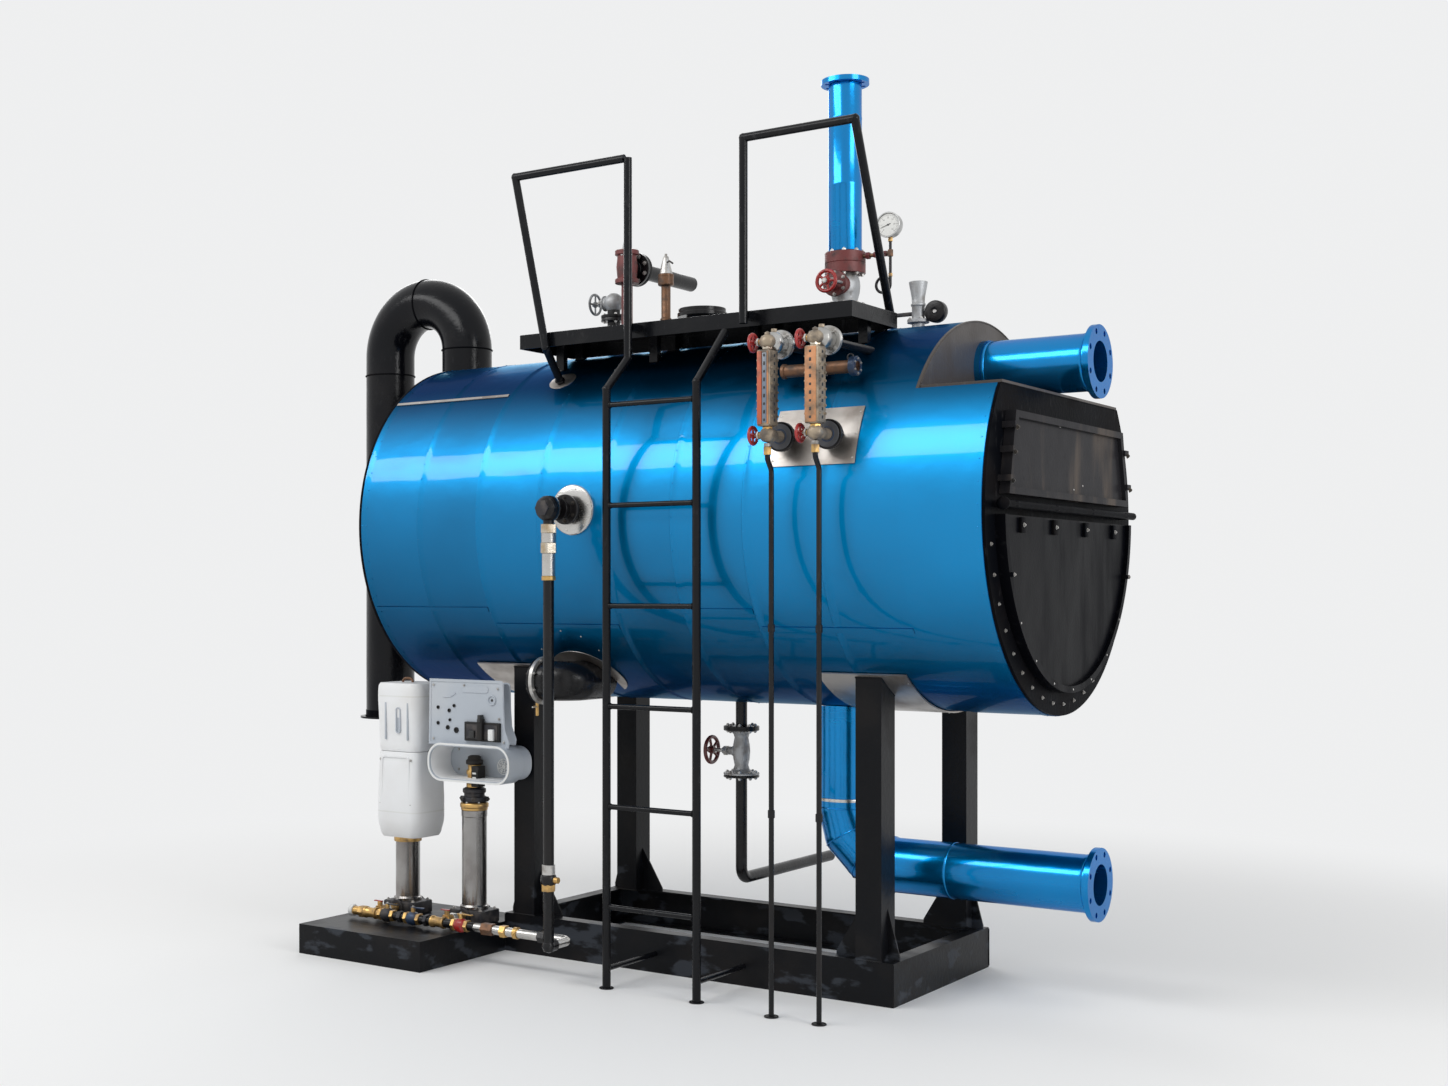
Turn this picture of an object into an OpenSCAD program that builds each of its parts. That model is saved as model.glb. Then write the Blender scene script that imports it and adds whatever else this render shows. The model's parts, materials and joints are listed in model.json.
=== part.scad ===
// Horizontal fire-tube steam boiler on a channel skid.
// X runs along the drum to the smokebox end, Y away from the ladder side, Z up.
// The origin is the middle of the skid at floor level. All sizes are in millimetres.

/* [Drum] */
// Outside diameter of the clad drum
shell_d = 1560; // [1500:10:1620]
// Length of the clad drum between its two end plates
shell_l = 2950; // [2850:10:3050]
// Thickness of the insulated drum wall
wall_t = 80; // [60:5:100]
// Height of the drum's axis above the floor
axis_z = 1900; // [1880:5:1930]
// Distance from the middle of the skid to the rear end of the drum
rear_reach = 1526; // [1480:2:1580]
// Length of the open pocket cut into the top of the smokebox end
pocket_l = 319; // [280:1:350]
// Height of the pocket's floor above the drum's axis
pocket_h = 470; // [440:5:500]
// Thickness of the steel end plates
end_plate_t = 12; // [8:1:16]
// Depth of the groove at each cladding seam
seam_depth = 2; // [1:0.5:4]
// Width of the groove at each cladding seam
seam_w = 6; // [4:1:10]

/* [Skid] */
// Length of the skid
skid_l = 1880; // [1840:10:1960]
// Width of the skid
skid_w = 940; // [920:10:980]
// Height of the channel rails
rail_h = 170; // [150:10:200]
// Width of the channel flanges
rail_flange = 65; // [55:5:75]
// Thickness of the channel web and flanges
rail_t = 8; // [6:1:12]
// Width of a leg along the drum
leg_w = 110; // [90:5:120]
// Depth of a leg across the drum
leg_depth = 120; // [100:5:130]
// Wall thickness of the box legs
leg_t = 8; // [6:1:12]
// Distance of a leg's middle from the end of the skid
leg_inset = 105; // [90:5:120]
// Height of the leg gussets
gusset_h = 200; // [150:10:240]
// Width of the leg gussets on the inner side
gusset_w = 110; // [80:5:140]
// Diameter of the anchor holes
anchor_d = 18; // [14:1:22]
// Distance between the anchor holes across the skid
anchor_spacing_y = 640; // [560:10:700]
// Length of a saddle plate along the drum
saddle_l = 380; // [320:10:420]
// Thickness of a saddle plate
saddle_t = 6; // [4:1:10]
// Half of the angle that a saddle plate wraps
saddle_angle = 38; // [34:1:42]

/* [Smokebox] */
// Gap between the upper door's top corners and the drum's side
door_top_gap = 195; // [170:5:230]
// Gap between the upper door's bottom corners and the drum's side
door_bottom_gap = 130; // [110:5:160]
// Height of the upper door
door_h = 305; // [280:5:320]
// Height of the upper door's bottom edge above the axis
door_z = 55; // [45:5:70]
// Thickness of a smokebox door at its folded rim
door_t = 40; // [30:2:50]
// Width of the folded rim of a door
door_rim = 26; // [20:2:34]
// Gap between the round lower door and the drum's side
lower_door_gap = 90; // [70:5:120]
// Depth of the drop of the lower door's top edge below the axis
lower_door_drop = 20; // [15:5:40]
// Diameter of the bar between the doors
ledge_d = 30; // [24:2:36]
// Width of the clips that hold the upper door
clip_w = 22; // [16:2:30]

/* [Ducts] */
// Outside diameter of the clad gas ducts
duct_d = 225; // [200:5:240]
// Bore of the gas ducts
duct_bore = 159; // [140:1:170]
// Distance that the gas ducts reach past the smokebox
duct_reach = 124; // [90:2:150]
// Height of the upper duct's centre above the pocket floor
duct_rise = 117; // [114:1:125]
// Length of the bare collar behind the upper duct's cladding
collar_l = 24; // [16:2:40]
// Height of the lower duct above the floor
low_duct_z = 475; // [440:5:500]
// Distance of the lower duct from the middle of the smokebox legs
low_duct_gap = 335; // [320:5:400]
// Centreline radius of the lower duct's elbow
duct_bend_r = 225; // [210:5:240]
// Number of gores in the lower duct's elbow
gore_n = 3; // [2:1:4]
// Diameter of the gas flanges
gas_flange_d = 285; // [280:5:300]
// Thickness of the gas flanges
gas_flange_t = 22; // [18:1:26]
// Pitch circle of the gas flanges' bolts
gas_pcd = 240; // [235:1:245]
// Diameter of the gas flanges' bolt holes
gas_hole_d = 22; // [18:1:23]

/* [Flue] */
// Outside diameter of the flue
flue_d = 250; // [230:5:270]
// Wall thickness of the flue
flue_t = 4; // [3:1:6]
// Centreline radius of the flue's return bend
flue_bend_r = 255; // [240:5:280]
// Height of the top of the flue's centreline above the drum
flue_rise = 390; // [340:10:420]
// Height of the flue's outlet flange
flue_foot_z = 950; // [900:10:1000]
// Distance of the flue behind the drum's axis
flue_y = 200; // [180:5:220]
// Width of the flue's flange ring
flue_lip = 30; // [25:1:40]
// Depth of the rear smoke hood along the drum
hood_l = 320; // [290:5:340]
// Width of the rear smoke hood
hood_w = 760; // [700:10:780]
// Distance of the hood's middle behind the drum's axis
hood_y = 124; // [100:2:130]
// Height of the rear smoke hood
hood_h = 900; // [850:10:950]
// Height of the hood's top above the drum's axis
hood_rise = 495; // [470:5:520]
// Height of the hood's slanting bottom
hood_slope_h = 260; // [220:10:300]
// Depth of the hood's flat sole
hood_sole_l = 128; // [100:4:160]

/* [Platform and ladder] */
// Height of the platform's top above the drum
deck_rise = 36; // [26:2:60]
// Gap between the platform and the pocket
deck_gap = 275; // [250:5:300]
// Length of the platform
deck_l = 1590; // [1550:10:1620]
// Width of the platform
deck_w = 400; // [380:10:420]
// Distance of the platform's edge in front of the drum's axis
deck_reach = 600; // [580:5:620]
// Thickness of the platform's plate
deck_t = 6; // [4:1:8]
// Depth of the platform's edge
deck_edge = 60; // [50:5:65]
// Diameter of the ladder and handrail pipe
rail_d = 34; // [30:1:38]
// Height of the handrail above the platform
handrail_h = 669; // [640:1:700]
// Distance of the handrail in front of the platform
rail_gap = 80; // [70:5:90]
// Distance between the ladder stiles
ladder_w = 424; // [400:2:440]
// Distance from the ladder to the platform's smokebox end
ladder_gap = 550; // [500:10:600]
// Distance of the ladder in front of the drum's side
ladder_reach = 55; // [45:5:80]
// Height of the lowest rung
first_rung_z = 330; // [300:10:360]
// Distance between the rungs
rung_pitch = 405; // [395:5:410]
// Diameter of the rungs
rung_d = 22; // [18:1:26]
// Height of the ties from the ladder to the skid
tie_z = 80; // [60:5:110]

/* [Steam valves] */
// Bore radius of the steam line
steam_r = 40; // [35:1:44]
// Distance of the steam outlet from the pocket
outlet_gap = 605; // [580:5:640]
// Height of the main stop valve above the drum
stop_rise = 205; // [195:5:230]
// Diameter of the main stop valve's handwheel
stop_wheel_d = 100; // [90:5:120]
// Outside diameter of the clad steam riser
riser_d = 140; // [125:5:150]
// Length of the steam riser
riser_l = 770; // [700:10:800]
// Pitch circle of the steam outlet's bolts
steam_pcd = 160; // [155:1:165]
// Height of the vent valve above the drum
vent_rise = 405; // [380:5:430]
// Radius of the vent pipe
vent_r = 35; // [30:1:38]
// Distance that the vent pipe reaches behind the drum's axis
vent_reach = 560; // [500:10:600]
// Height of the gate valve above the drum
gate_rise = 270; // [260:5:290]
// Diameter of the gate valve's handwheel
gate_wheel_d = 105; // [95:5:120]
// Distance of the safety valve's weight from its stem
weight_arm = 78; // [74:1:90]

/* [Water fittings] */
// Height of the lower gauge cocks above the drum's axis
gauge_low = 290; // [280:5:310]
// Distance between the cocks of a level gauge
gauge_l = 350; // [330:5:360]
// Distance of the level gauges in front of the drum's side
gauge_reach = 120; // [115:5:140]
// Distance between the two level gauges
gauge_spacing = 200; // [190:5:220]
// Width of a level gauge's body
gauge_w = 56; // [50:1:60]
// Depth of a level gauge's body
gauge_depth = 66; // [60:1:72]
// Diameter of the level gauge handwheels
gauge_wheel_d = 76; // [70:2:84]
// Thickness of the flashing plates
flashing_t = 2; // [1:0.5:3]
// Distance of the feed pipe in front of the drum's side
feed_reach = 170; // [160:5:190]
// Radius of the feed pipe
feed_r = 22.5; // [20:0.5:26]
// Radius of the handhole's elbow pipe
hand_r = 85; // [75:1:90]
// Height of the handhole's middle above the bottom of the drum
hand_rise = 100; // [100:5:130]
// Distance of the handhole's elbow in front of the drum's skin
hand_reach = 228; // [220:1:240]
// Distance of the handhole from the middle of the rear saddle
hand_step = 410; // [405:5:440]
// Depth of the blowdown valve below the drum
blow_drop = 215; // [200:5:240]
// Height of the blowdown pipe above the floor
blow_pipe_z = 350; // [330:5:370]
// Radius of the blowdown pipe
blow_r = 25; // [22:1:30]
// Diameter of the blowdown handwheel
blowdown_wheel_d = 130; // [110:5:140]

/* [Feed pumps] */
// Height of the pump frame
pump_frame_h = 130; // [110:5:150]
// Length of the pump frame along the drum
pump_frame_l = 700; // [680:10:760]
// Width of the pump frame
pump_frame_w = 760; // [700:10:800]
// Distance that the pump frame reaches past the skid's front
pump_frame_reach = 590; // [560:10:620]
// Distance of the first pump from the skid's end
pump_gap = 105; // [100:5:130]
// Distance of the pumps in front of the skid
pump_reach = 90; // [85:5:120]
// Distance between the pumps
pump_spacing = 390; // [370:5:420]
// Radius of a pump column
column_r = 58; // [50:1:64]
// Radius of the manifold pipe
manifold_r = 20; // [16:1:24]
// Distance of the manifold in front of the pumps
manifold_reach = 250; // [230:5:280]

/* [Clearances] */
// Clearance between pieces that seat on curved faces
seat_gap = 0.3; // [0.2:0.1:0.5]
// Running clearance round a valve stem
stem_gap = 0.08; // [0.05:0.01:0.1]

/* [Hidden] */
$fn = 64;

// Working allowance by which a cutting solid passes the face that it cuts
cut = 1;
// How far an elbow's ball stands proud of its pipe
elbow_swell = 1;
// Depth to which a fitting is drawn into the drum before it is trimmed to the skin
root = 60;

// Drum
shell_r = shell_d / 2;
shell_top = axis_z + shell_r;
shell_low = axis_z - shell_r;
bore_r = shell_r - wall_t;
rear_x = -rear_reach;
rear_face_x = rear_x - end_plate_t;
front_x = rear_x + shell_l;
front_face_x = front_x + end_plate_t;
pocket_x = front_x - pocket_l;
pocket_z = axis_z + pocket_h;
course_l = (pocket_x - rear_x) / 4;
seat_r = shell_r + seat_gap;

// Skid
leg_x = skid_l / 2 - leg_inset;
leg_y = skid_w / 2 - leg_depth / 2;
saddle_r = seat_r + saddle_t;
rear_saddle_x = -leg_x - 65;
front_saddle_x = leg_x - 25;
anchor_x = skid_l / 2 - rail_flange / 2 - rail_t / 2;

// Smokebox and ducts
door_bottom_half = shell_r - door_bottom_gap;
door_top_half = shell_r - door_top_gap;
lower_door_r = shell_r - lower_door_gap;
duct_end_x = front_face_x + duct_reach;
low_duct_x = leg_x - low_duct_gap;

// Platform
deck_z = shell_top + deck_rise;
deck_right = pocket_x - deck_gap;
deck_left = deck_right - deck_l;
deck_front = -deck_reach;
deck_back = deck_front + deck_w;
deck_under = deck_z - deck_t;
pipe_r = rail_d / 2;
handrail_z = deck_z + handrail_h;
rail_front = deck_front - rail_gap;
ladder_y = shell_r + ladder_reach;
ladder_x = [deck_right - ladder_gap - ladder_w, deck_right - ladder_gap];
handrail_post_x = ladder_x[1] + 120;
ladder_bend_z = deck_z - 296;

// Valves on the drum's top
outlet_x = pocket_x - outlet_gap;
stop_z = shell_top + stop_rise;
stop_top = 95;
stop_flange_r = 85;
safety_x = deck_right;
cover_x = -200;
spring_x = -390;
vent_x = -600;
gate_x = -740;
gate_y = 100;
gate_z = shell_top + gate_rise;

// Water side
gauge_x = [deck_right - gauge_spacing, deck_right];
gauge_y = shell_r + gauge_reach;
gauge_low_z = axis_z + gauge_low;
gauge_high_z = gauge_low_z + gauge_l;
gauge_gland_start = 20;
gauge_gland_l = 26;
gauge_pipe_r = 17;
feed_x = -350;
feed_y = -shell_r - feed_reach;
feed_z = axis_z + 40;
hand_x = rear_saddle_x + hand_step;
hand_z = shell_low + hand_rise;
hand_y = -skin_y(hand_z) - hand_reach;
hand_bend_r = hand_r + 8;
blow_z = shell_low - blow_drop;
blow_pipe_end_y = 840;

// Feed pumps
pump_y = -skid_w / 2 - pump_reach;
pump_x = [-skid_l / 2 - pump_gap, -skid_l / 2 - pump_gap - pump_spacing];
manifold_y = pump_y - manifold_reach;
manifold_z = pump_frame_h + manifold_r + 15;
pump_base = [180, 140, 60];

// Height of the drum's skin at a distance y from its axis
function skin_z(y) = axis_z + sqrt(shell_r * shell_r - y * y);
// Distance of the drum's skin from the axis plane at a height z
function skin_y(z) = sqrt(shell_r * shell_r - (z - axis_z) * (z - axis_z));

// Round bar between two points
module rod(a, b, r) {
    span = b - a;
    translate(a)
        rotate([0, acos(span.z / norm(span)), atan2(span.y, span.x)])
            cylinder(h = norm(span), r = r);
}

// Pipe along a list of points, with an elbow at each inner point
module pipe_run(points, r) {
    for (i = [0 : len(points) - 2]) rod(points[i], points[i + 1], r);
    for (i = [1 : 1 : len(points) - 2]) translate(points[i]) sphere(r + elbow_swell);
}

// Solid cylinder along X
module disc_x(x, length, r, z = axis_z)
    translate([x, 0, z]) rotate([0, 90, 0]) cylinder(h = length, r = r);

// The drum as a solid, used to trim what seats on its skin
module drum_trim(r = seat_r)
    translate([rear_x - 500, 0, axis_z]) rotate([0, 90, 0])
        cylinder(h = shell_l + 1000, r = r, $fn = 360);

// Everything below the underside of the pocket's floor
module below_pocket()
    translate([rear_x - cut, -shell_r - cut, 0])
        cube([shell_l + end_plate_t + 2 * cut, shell_d + 2 * cut, pocket_z - end_plate_t]);

// Turned body that stands on the drum's top, with its profile's heights above the drum
module top_body(x, y, profile)
    difference() {
        translate([x, y, shell_top]) rotate_extrude() polygon(profile);
        drum_trim();
    }

// Upright box with round corners, centred on its base
module rounded_box(w, d, h, r) {
    for (side = [[w, d - 2 * r], [w - 2 * r, d]])
        translate([-side.x / 2, -side.y / 2, 0]) cube([side.x, side.y, h]);
    for (x = [-1, 1])
        for (y = [-1, 1])
            translate([x * (w / 2 - r), y * (d / 2 - r), 0]) cylinder(h = h, r = r);
}

// Ring flange standing on its own plane, with a ring of bolt holes
module flange(d, bore_d, t, pcd = 0, holes = 0, hole_d = 0)
    difference() {
        cylinder(h = t, d = d);
        translate([0, 0, -cut]) cylinder(h = t + 2 * cut, d = bore_d);
        if (holes > 0)
            for (i = [0 : holes - 1])
                rotate(360 / holes * (i + 0.5)) translate([pcd / 2, 0, -cut])
                    cylinder(h = t + 2 * cut, d = hole_d);
    }

// Handwheel with its stem, the wheel in the XY plane and the stem along -Z
module handwheel(d, rim_r, stem_r, stem_l, spokes = 4) {
    hub_r = stem_r * 1.9;
    rotate_extrude() translate([d / 2 - rim_r, 0]) circle(rim_r);
    for (i = [0 : spokes - 1])
        rotate(360 / spokes * i) rod([0, 0, 0], [d / 2 - rim_r, 0, 0], rim_r * 0.7);
    translate([0, 0, -rim_r * 1.5]) cylinder(h = rim_r * 3, r = hub_r);
    translate([0, 0, -stem_l]) cylinder(h = stem_l + rim_r * 3, r = stem_r);
}

// Gland of a valve: a boss with a nut and a blind hole for the stem
module gland(r, length, stem_r)
    difference() {
        union() {
            cylinder(h = length, r = r);
            translate([0, 0, length * 0.55]) cylinder(h = length * 0.3, r = r * 1.25, $fn = 6);
        }
        translate([0, 0, length * 0.4]) cylinder(h = length, r = stem_r + stem_gap);
    }

// Channel section along X with its web at y = 0 and its flanges towards +Y
module channel(length)
    difference() {
        translate([-length / 2, 0, 0]) cube([length, rail_flange, rail_h]);
        translate([-length / 2 - cut, rail_t, rail_t])
            cube([length + 2 * cut, rail_flange, rail_h - 2 * rail_t]);
    }

// Long rail with its ends coped to fit between the flanges of the end rails
module long_rail() {
    channel(skid_l - 2 * rail_flange);
    tongue_l = skid_l - 2 * rail_t;
    translate([-tongue_l / 2, 0, rail_t]) cube([tongue_l, rail_t, rail_h - 2 * rail_t]);
}

module base_long_rails()
    color("#15161a")
        for (turn = [0, 180]) rotate(turn) translate([0, -skid_w / 2, 0]) long_rail();

module base_end_rails()
    color("#15161a")
        for (side = [-1, 1])
            difference() {
                translate([side * skid_l / 2, 0, 0]) rotate(side * 90) channel(skid_w);
                for (end = [-1, 1])
                    translate([side * anchor_x, end * anchor_spacing_y / 2, -cut])
                        cylinder(h = rail_t + 2 * cut, d = anchor_d);
            }

// Gusset beside a leg, as a triangle that runs out along +X
module gusset(length)
    translate([leg_w / 2, leg_t / 2, 0]) rotate([90, 0, 0]) linear_extrude(leg_t)
        polygon([[0, 0], [length, 0], [length, leg_t * 2], [0, gusset_h]]);

// Box leg with gussets, trimmed under the saddle plate
module leg(side_x, side_y) {
    outer_l = leg_inset - leg_w / 2;
    inner_turn = side_x > 0 ? 180 : 0;
    difference() {
        translate([side_x * leg_x, side_y * leg_y, rail_h]) {
            difference() {
                translate([-leg_w / 2, -leg_depth / 2, 0])
                    cube([leg_w, leg_depth, axis_z - rail_h]);
                translate([-leg_w / 2 + leg_t, -leg_depth / 2 + leg_t, leg_t])
                    cube([leg_w - 2 * leg_t, leg_depth - 2 * leg_t, axis_z]);
            }
            rotate(inner_turn) gusset(gusset_w);
            rotate(inner_turn + 180) gusset(outer_l);
        }
        drum_trim(saddle_r + seat_gap);
    }
}

module legs()
    color("#15161a")
        for (side_x = [-1, 1])
            for (side_y = [-1, 1]) leg(side_x, side_y);

// Curved plate between the drum and a pair of legs
module saddle_plate(x)
    translate([x - saddle_l / 2, 0, axis_z]) rotate([0, 90, 0])
        rotate(-saddle_angle) rotate_extrude(angle = 2 * saddle_angle, $fn = 180)
            translate([seat_r, 0]) square([saddle_t, saddle_l]);

module saddle_plates()
    color("#6e6862")
        for (x = [rear_saddle_x, front_saddle_x]) saddle_plate(x);

// One course of the clad wall, grooved at its right seam
module course(i)
    translate([rear_x + course_l * i, 0, axis_z]) rotate([0, 90, 0])
        difference() {
            union() {
                cylinder(h = course_l - seam_w, r = shell_r, $fn = 180);
                cylinder(h = course_l, r = shell_r - seam_depth, $fn = 180);
            }
            translate([0, 0, -cut]) cylinder(h = course_l + 2 * cut, r = bore_r, $fn = 180);
        }

module casing_course_1() color("#0b6fc2") course(0);

module casing_course_2() color("#0b6fc2") course(1);

module casing_course_3() color("#0b6fc2") course(2);

module casing_course_4() color("#0b6fc2") course(3);

// Clad wall round the smokebox, open at the top where the pocket is
module smokebox_casing()
    color("#0b6fc2")
        intersection() {
            difference() {
                disc_x(pocket_x, pocket_l, shell_r, $fn = 180);
                disc_x(pocket_x - cut, pocket_l + 2 * cut, bore_r, $fn = 180);
            }
            below_pocket();
        }

module rear_end_plate()
    color("#17181b") disc_x(rear_face_x, end_plate_t, shell_r, $fn = 180);

module front_end_plate()
    color("#17181b")
        intersection() {
            disc_x(front_x, end_plate_t, shell_r, $fn = 180);
            below_pocket();
        }

// Floor of the pocket and the upright plate that closes the drum above it
module pocket_plates()
    color("#55565a") {
        floor_inset = 3;
        half = skin_y(pocket_z) - floor_inset;
        translate([pocket_x + end_plate_t, -half, pocket_z - end_plate_t])
            cube([pocket_l, 2 * half, end_plate_t]);
        difference() {
            disc_x(pocket_x, end_plate_t, shell_r, $fn = 180);
            below_pocket();
        }
    }

// Half width of the upper door at a height above its bottom edge
function door_half(h) = door_bottom_half + (door_top_half - door_bottom_half) * h / door_h;

// Outline of the upper door, drawn in by an inset
module door_outline(inset)
    polygon([
        [-door_bottom_half + inset, inset], [door_bottom_half - inset, inset],
        [door_top_half - inset, door_h - inset], [-door_top_half + inset, door_h - inset]
    ]);

// Upper door: a sheet with a folded rim, held by clips at its sides
module upper_smoke_door()
    translate([front_face_x, 0, axis_z + door_z]) rotate([90, 0, 90]) {
        sheet_t = door_t * 0.6;
        linear_extrude(sheet_t) door_outline(0);
        linear_extrude(door_t) difference() {
            door_outline(0);
            door_outline(door_rim);
        }
        for (clip = [[-1, 45], [-1, 150], [-1, 240], [1, 70], [1, 210]])
            translate([clip[0] * door_half(clip[1]) - clip_w, clip[1], 0])
                cube([2 * clip_w, clip_w, door_t + 10]);
    }

// Lower door: a round sheet with a folded rim, cut off below the bar
module lower_smoke_door()
    difference() {
        union() {
            disc_x(front_face_x, door_t * 0.6, lower_door_r, $fn = 180);
            difference() {
                disc_x(front_face_x, door_t, lower_door_r, $fn = 180);
                disc_x(front_face_x - cut, door_t + 2 * cut, lower_door_r - door_rim, $fn = 180);
            }
        }
        translate([front_x, -shell_r, axis_z - lower_door_drop])
            cube([end_plate_t + door_t + cut, shell_d, shell_d]);
    }

module smoke_doors()
    color("#1c1c1e") {
        upper_smoke_door();
        lower_smoke_door();
    }

// Bar between the doors, carried in two brackets
module door_bar()
    color("#1c1c1e") {
        bracket_w = 16;
        bar_half = door_bottom_half + 60;
        bar_x = front_face_x + door_t;
        bar_z = axis_z + (door_z - lower_door_drop) / 2;
        rod([bar_x, -bar_half, bar_z], [bar_x, bar_half, bar_z], ledge_d / 2);
        translate([bar_x, -bar_half, bar_z]) sphere(ledge_d * 0.8);
        for (side = [-1, 1])
            translate([front_face_x, side * door_bottom_half - bracket_w / 2, bar_z - ledge_d / 2])
                cube([door_t, bracket_w, ledge_d]);
    }

// Hood that gathers the smoke at the rear end
module rear_smoke_hood()
    color("#17181b") {
        top = axis_z + hood_rise;
        low = top - hood_h;
        back = rear_face_x - hood_l;
        translate([0, hood_y + hood_w / 2, 0]) rotate([90, 0, 0]) linear_extrude(hood_w)
            polygon([
                [rear_face_x, low], [rear_face_x, top], [back, top],
                [back, low + hood_slope_h], [rear_face_x - hood_sole_l, low]
            ]);
    }

// Flue from the hood over its return bend and down to the outlet flange
module flue_bend()
    color("#17181b") {
        inner_x = rear_face_x - hood_l / 2;
        outer_x = inner_x - 2 * flue_bend_r;
        hood_top = axis_z + hood_rise;
        bend_centre_z = shell_top + flue_rise - flue_bend_r;
        flue_bore = flue_d - 2 * flue_t;
        lip_t = 10;
        for (leg = [[inner_x, hood_top], [outer_x, flue_foot_z]])
            translate([leg[0], flue_y, leg[1]]) difference() {
                cylinder(h = bend_centre_z - leg[1], d = flue_d);
                translate([0, 0, -cut])
                    cylinder(h = bend_centre_z - leg[1] + 2 * cut, d = flue_bore);
            }
        translate([inner_x - flue_bend_r, flue_y, bend_centre_z]) rotate([90, 0, 0])
            rotate_extrude(angle = 180) translate([flue_bend_r, 0]) difference() {
                circle(d = flue_d);
                circle(d = flue_bore);
            }
        translate([outer_x, flue_y, flue_foot_z])
            flange(flue_d + 2 * flue_lip, flue_bore, lip_t, flue_d + flue_lip + 2, 8, 12);
        translate([inner_x, flue_y, hood_top]) flange(flue_d + 2 * flue_lip, flue_bore, lip_t);
    }

module gas_flange() rotate([0, 90, 0])
    flange(gas_flange_d, duct_bore, gas_flange_t, gas_pcd, 8, gas_hole_d);

// Straight gas duct in the pocket, with a bare collar at the drum
module upper_gas_duct() {
    start = pocket_x + end_plate_t;
    z = pocket_z + duct_rise;
    collar_swell = 4;
    difference() {
        union() {
            disc_x(start, duct_end_x - start, duct_d / 2, z);
            disc_x(start, collar_l, duct_d / 2 + collar_swell, z);
        }
        disc_x(start - cut, duct_end_x - start + 2 * cut, duct_bore / 2, z);
    }
    translate([duct_end_x, 0, z]) gas_flange();
}

// Gas duct that drops from the drum and turns to the front in a gored elbow
module lower_gas_duct() {
    knee = [for (k = [0 : gore_n]) let (a = 90 * k / gore_n)
        [low_duct_x + duct_bend_r * (1 - cos(a)), 0, low_duct_z + duct_bend_r * (1 - sin(a))]];
    route = concat([[low_duct_x, 0, axis_z]], knee, [[duct_end_x, 0, low_duct_z]]);
    bore_route = concat([[low_duct_x, 0, axis_z]], knee, [[duct_end_x + cut, 0, low_duct_z]]);
    difference() {
        pipe_run(route, duct_d / 2);
        pipe_run(bore_route, duct_bore / 2);
        drum_trim();
    }
    translate([duct_end_x, 0, low_duct_z]) gas_flange();
}

module gas_ducts()
    color("#0b7fd6") {
        upper_gas_duct();
        lower_gas_duct();
    }

// Walkway beside the drum's top, on stubs that stand on the skin
module platform()
    color("#101114") {
        stub = [40, 30];
        stub_inset = 60;
        stub_y = [deck_front + 230, deck_back - 25];
        tab_w = 30;
        translate([deck_left, deck_front, deck_under]) cube([deck_l, deck_w, deck_t]);
        difference() {
            translate([deck_left, deck_front, deck_z - deck_edge])
                cube([deck_l, deck_w, deck_edge - deck_t]);
            translate([deck_left + deck_t, deck_front + deck_t, 0])
                cube([deck_l - 2 * deck_t, deck_w - 2 * deck_t, deck_z]);
            drum_trim();
        }
        difference() {
            for (i = [0 : 3])
                for (y = stub_y)
                    translate([
                        deck_left + stub_inset + i * (deck_l - 2 * stub_inset) / 3 - stub.x / 2,
                        y - stub.y / 2, axis_z
                    ]) cube([stub.x, stub.y, deck_under - axis_z]);
            drum_trim();
        }
        for (x = [ladder_x[0], handrail_post_x])
            translate([x - tab_w / 2, rail_front + pipe_r + seat_gap, deck_z - 40])
                cube([tab_w, rail_gap - pipe_r - seat_gap, tab_w]);
    }

// Bent handrail pipe left of the ladder, with its foot on the drum
module handrail_left()
    difference() {
        foot_y = 468;
        pipe_run([
            [ladder_x[0] - pipe_r - seat_gap, rail_front, handrail_z],
            [deck_left + 36, rail_front, handrail_z],
            [deck_left + 155, deck_front - 22, deck_z - 66],
            [deck_left + 135, -foot_y, skin_z(foot_y) - 30]
        ], pipe_r);
        drum_trim();
    }

// Bent handrail pipe right of the ladder, down to the platform's far corner
module handrail_right()
    difference() {
        pipe_run([
            [handrail_post_x, rail_front, deck_z - deck_edge],
            [handrail_post_x, rail_front, handrail_z],
            [deck_right + 52, rail_front, handrail_z],
            [deck_right - 20, deck_back - 20, deck_under]
        ], pipe_r);
        translate([deck_left - cut, deck_front - seat_gap, 0])
            cube([deck_l + 2 * cut, deck_w + 2 * cut, deck_z + seat_gap]);
    }

module handrails()
    color("#101114") {
        handrail_left();
        handrail_right();
    }

// Two ladder stiles; the left one runs on as a handrail post
module ladder_stiles() {
    pipe_run([
        [ladder_x[0], -ladder_y, 0], [ladder_x[0], -ladder_y, ladder_bend_z],
        [ladder_x[0], rail_front, ladder_bend_z + 140], [ladder_x[0], rail_front, handrail_z]
    ], pipe_r);
    difference() {
        pipe_run([
            [ladder_x[1], -ladder_y, 0], [ladder_x[1], -ladder_y, ladder_bend_z],
            [ladder_x[1], deck_front - pipe_r, ladder_bend_z + 220]
        ], pipe_r);
        translate([deck_left, deck_front - seat_gap, deck_z - deck_edge])
            cube([deck_l, deck_w, deck_edge]);
    }
}

// Rungs between the stiles and the ties from the stiles to the skid
module ladder_rungs() {
    gap_r = pipe_r + seat_gap;
    for (z = [first_rung_z : rung_pitch : ladder_bend_z])
        difference() {
            rod([ladder_x[0], -ladder_y, z], [ladder_x[1], -ladder_y, z], rung_d / 2);
            for (x = ladder_x)
                translate([x, -ladder_y, z - rail_d]) cylinder(h = 2 * rail_d, r = gap_r);
        }
    for (x = ladder_x)
        difference() {
            rod([x, -ladder_y, tie_z], [x, -skid_w / 2, tie_z], rung_d / 2);
            translate([x, -ladder_y, 0]) cylinder(h = 2 * tie_z, r = gap_r);
        }
}

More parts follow.
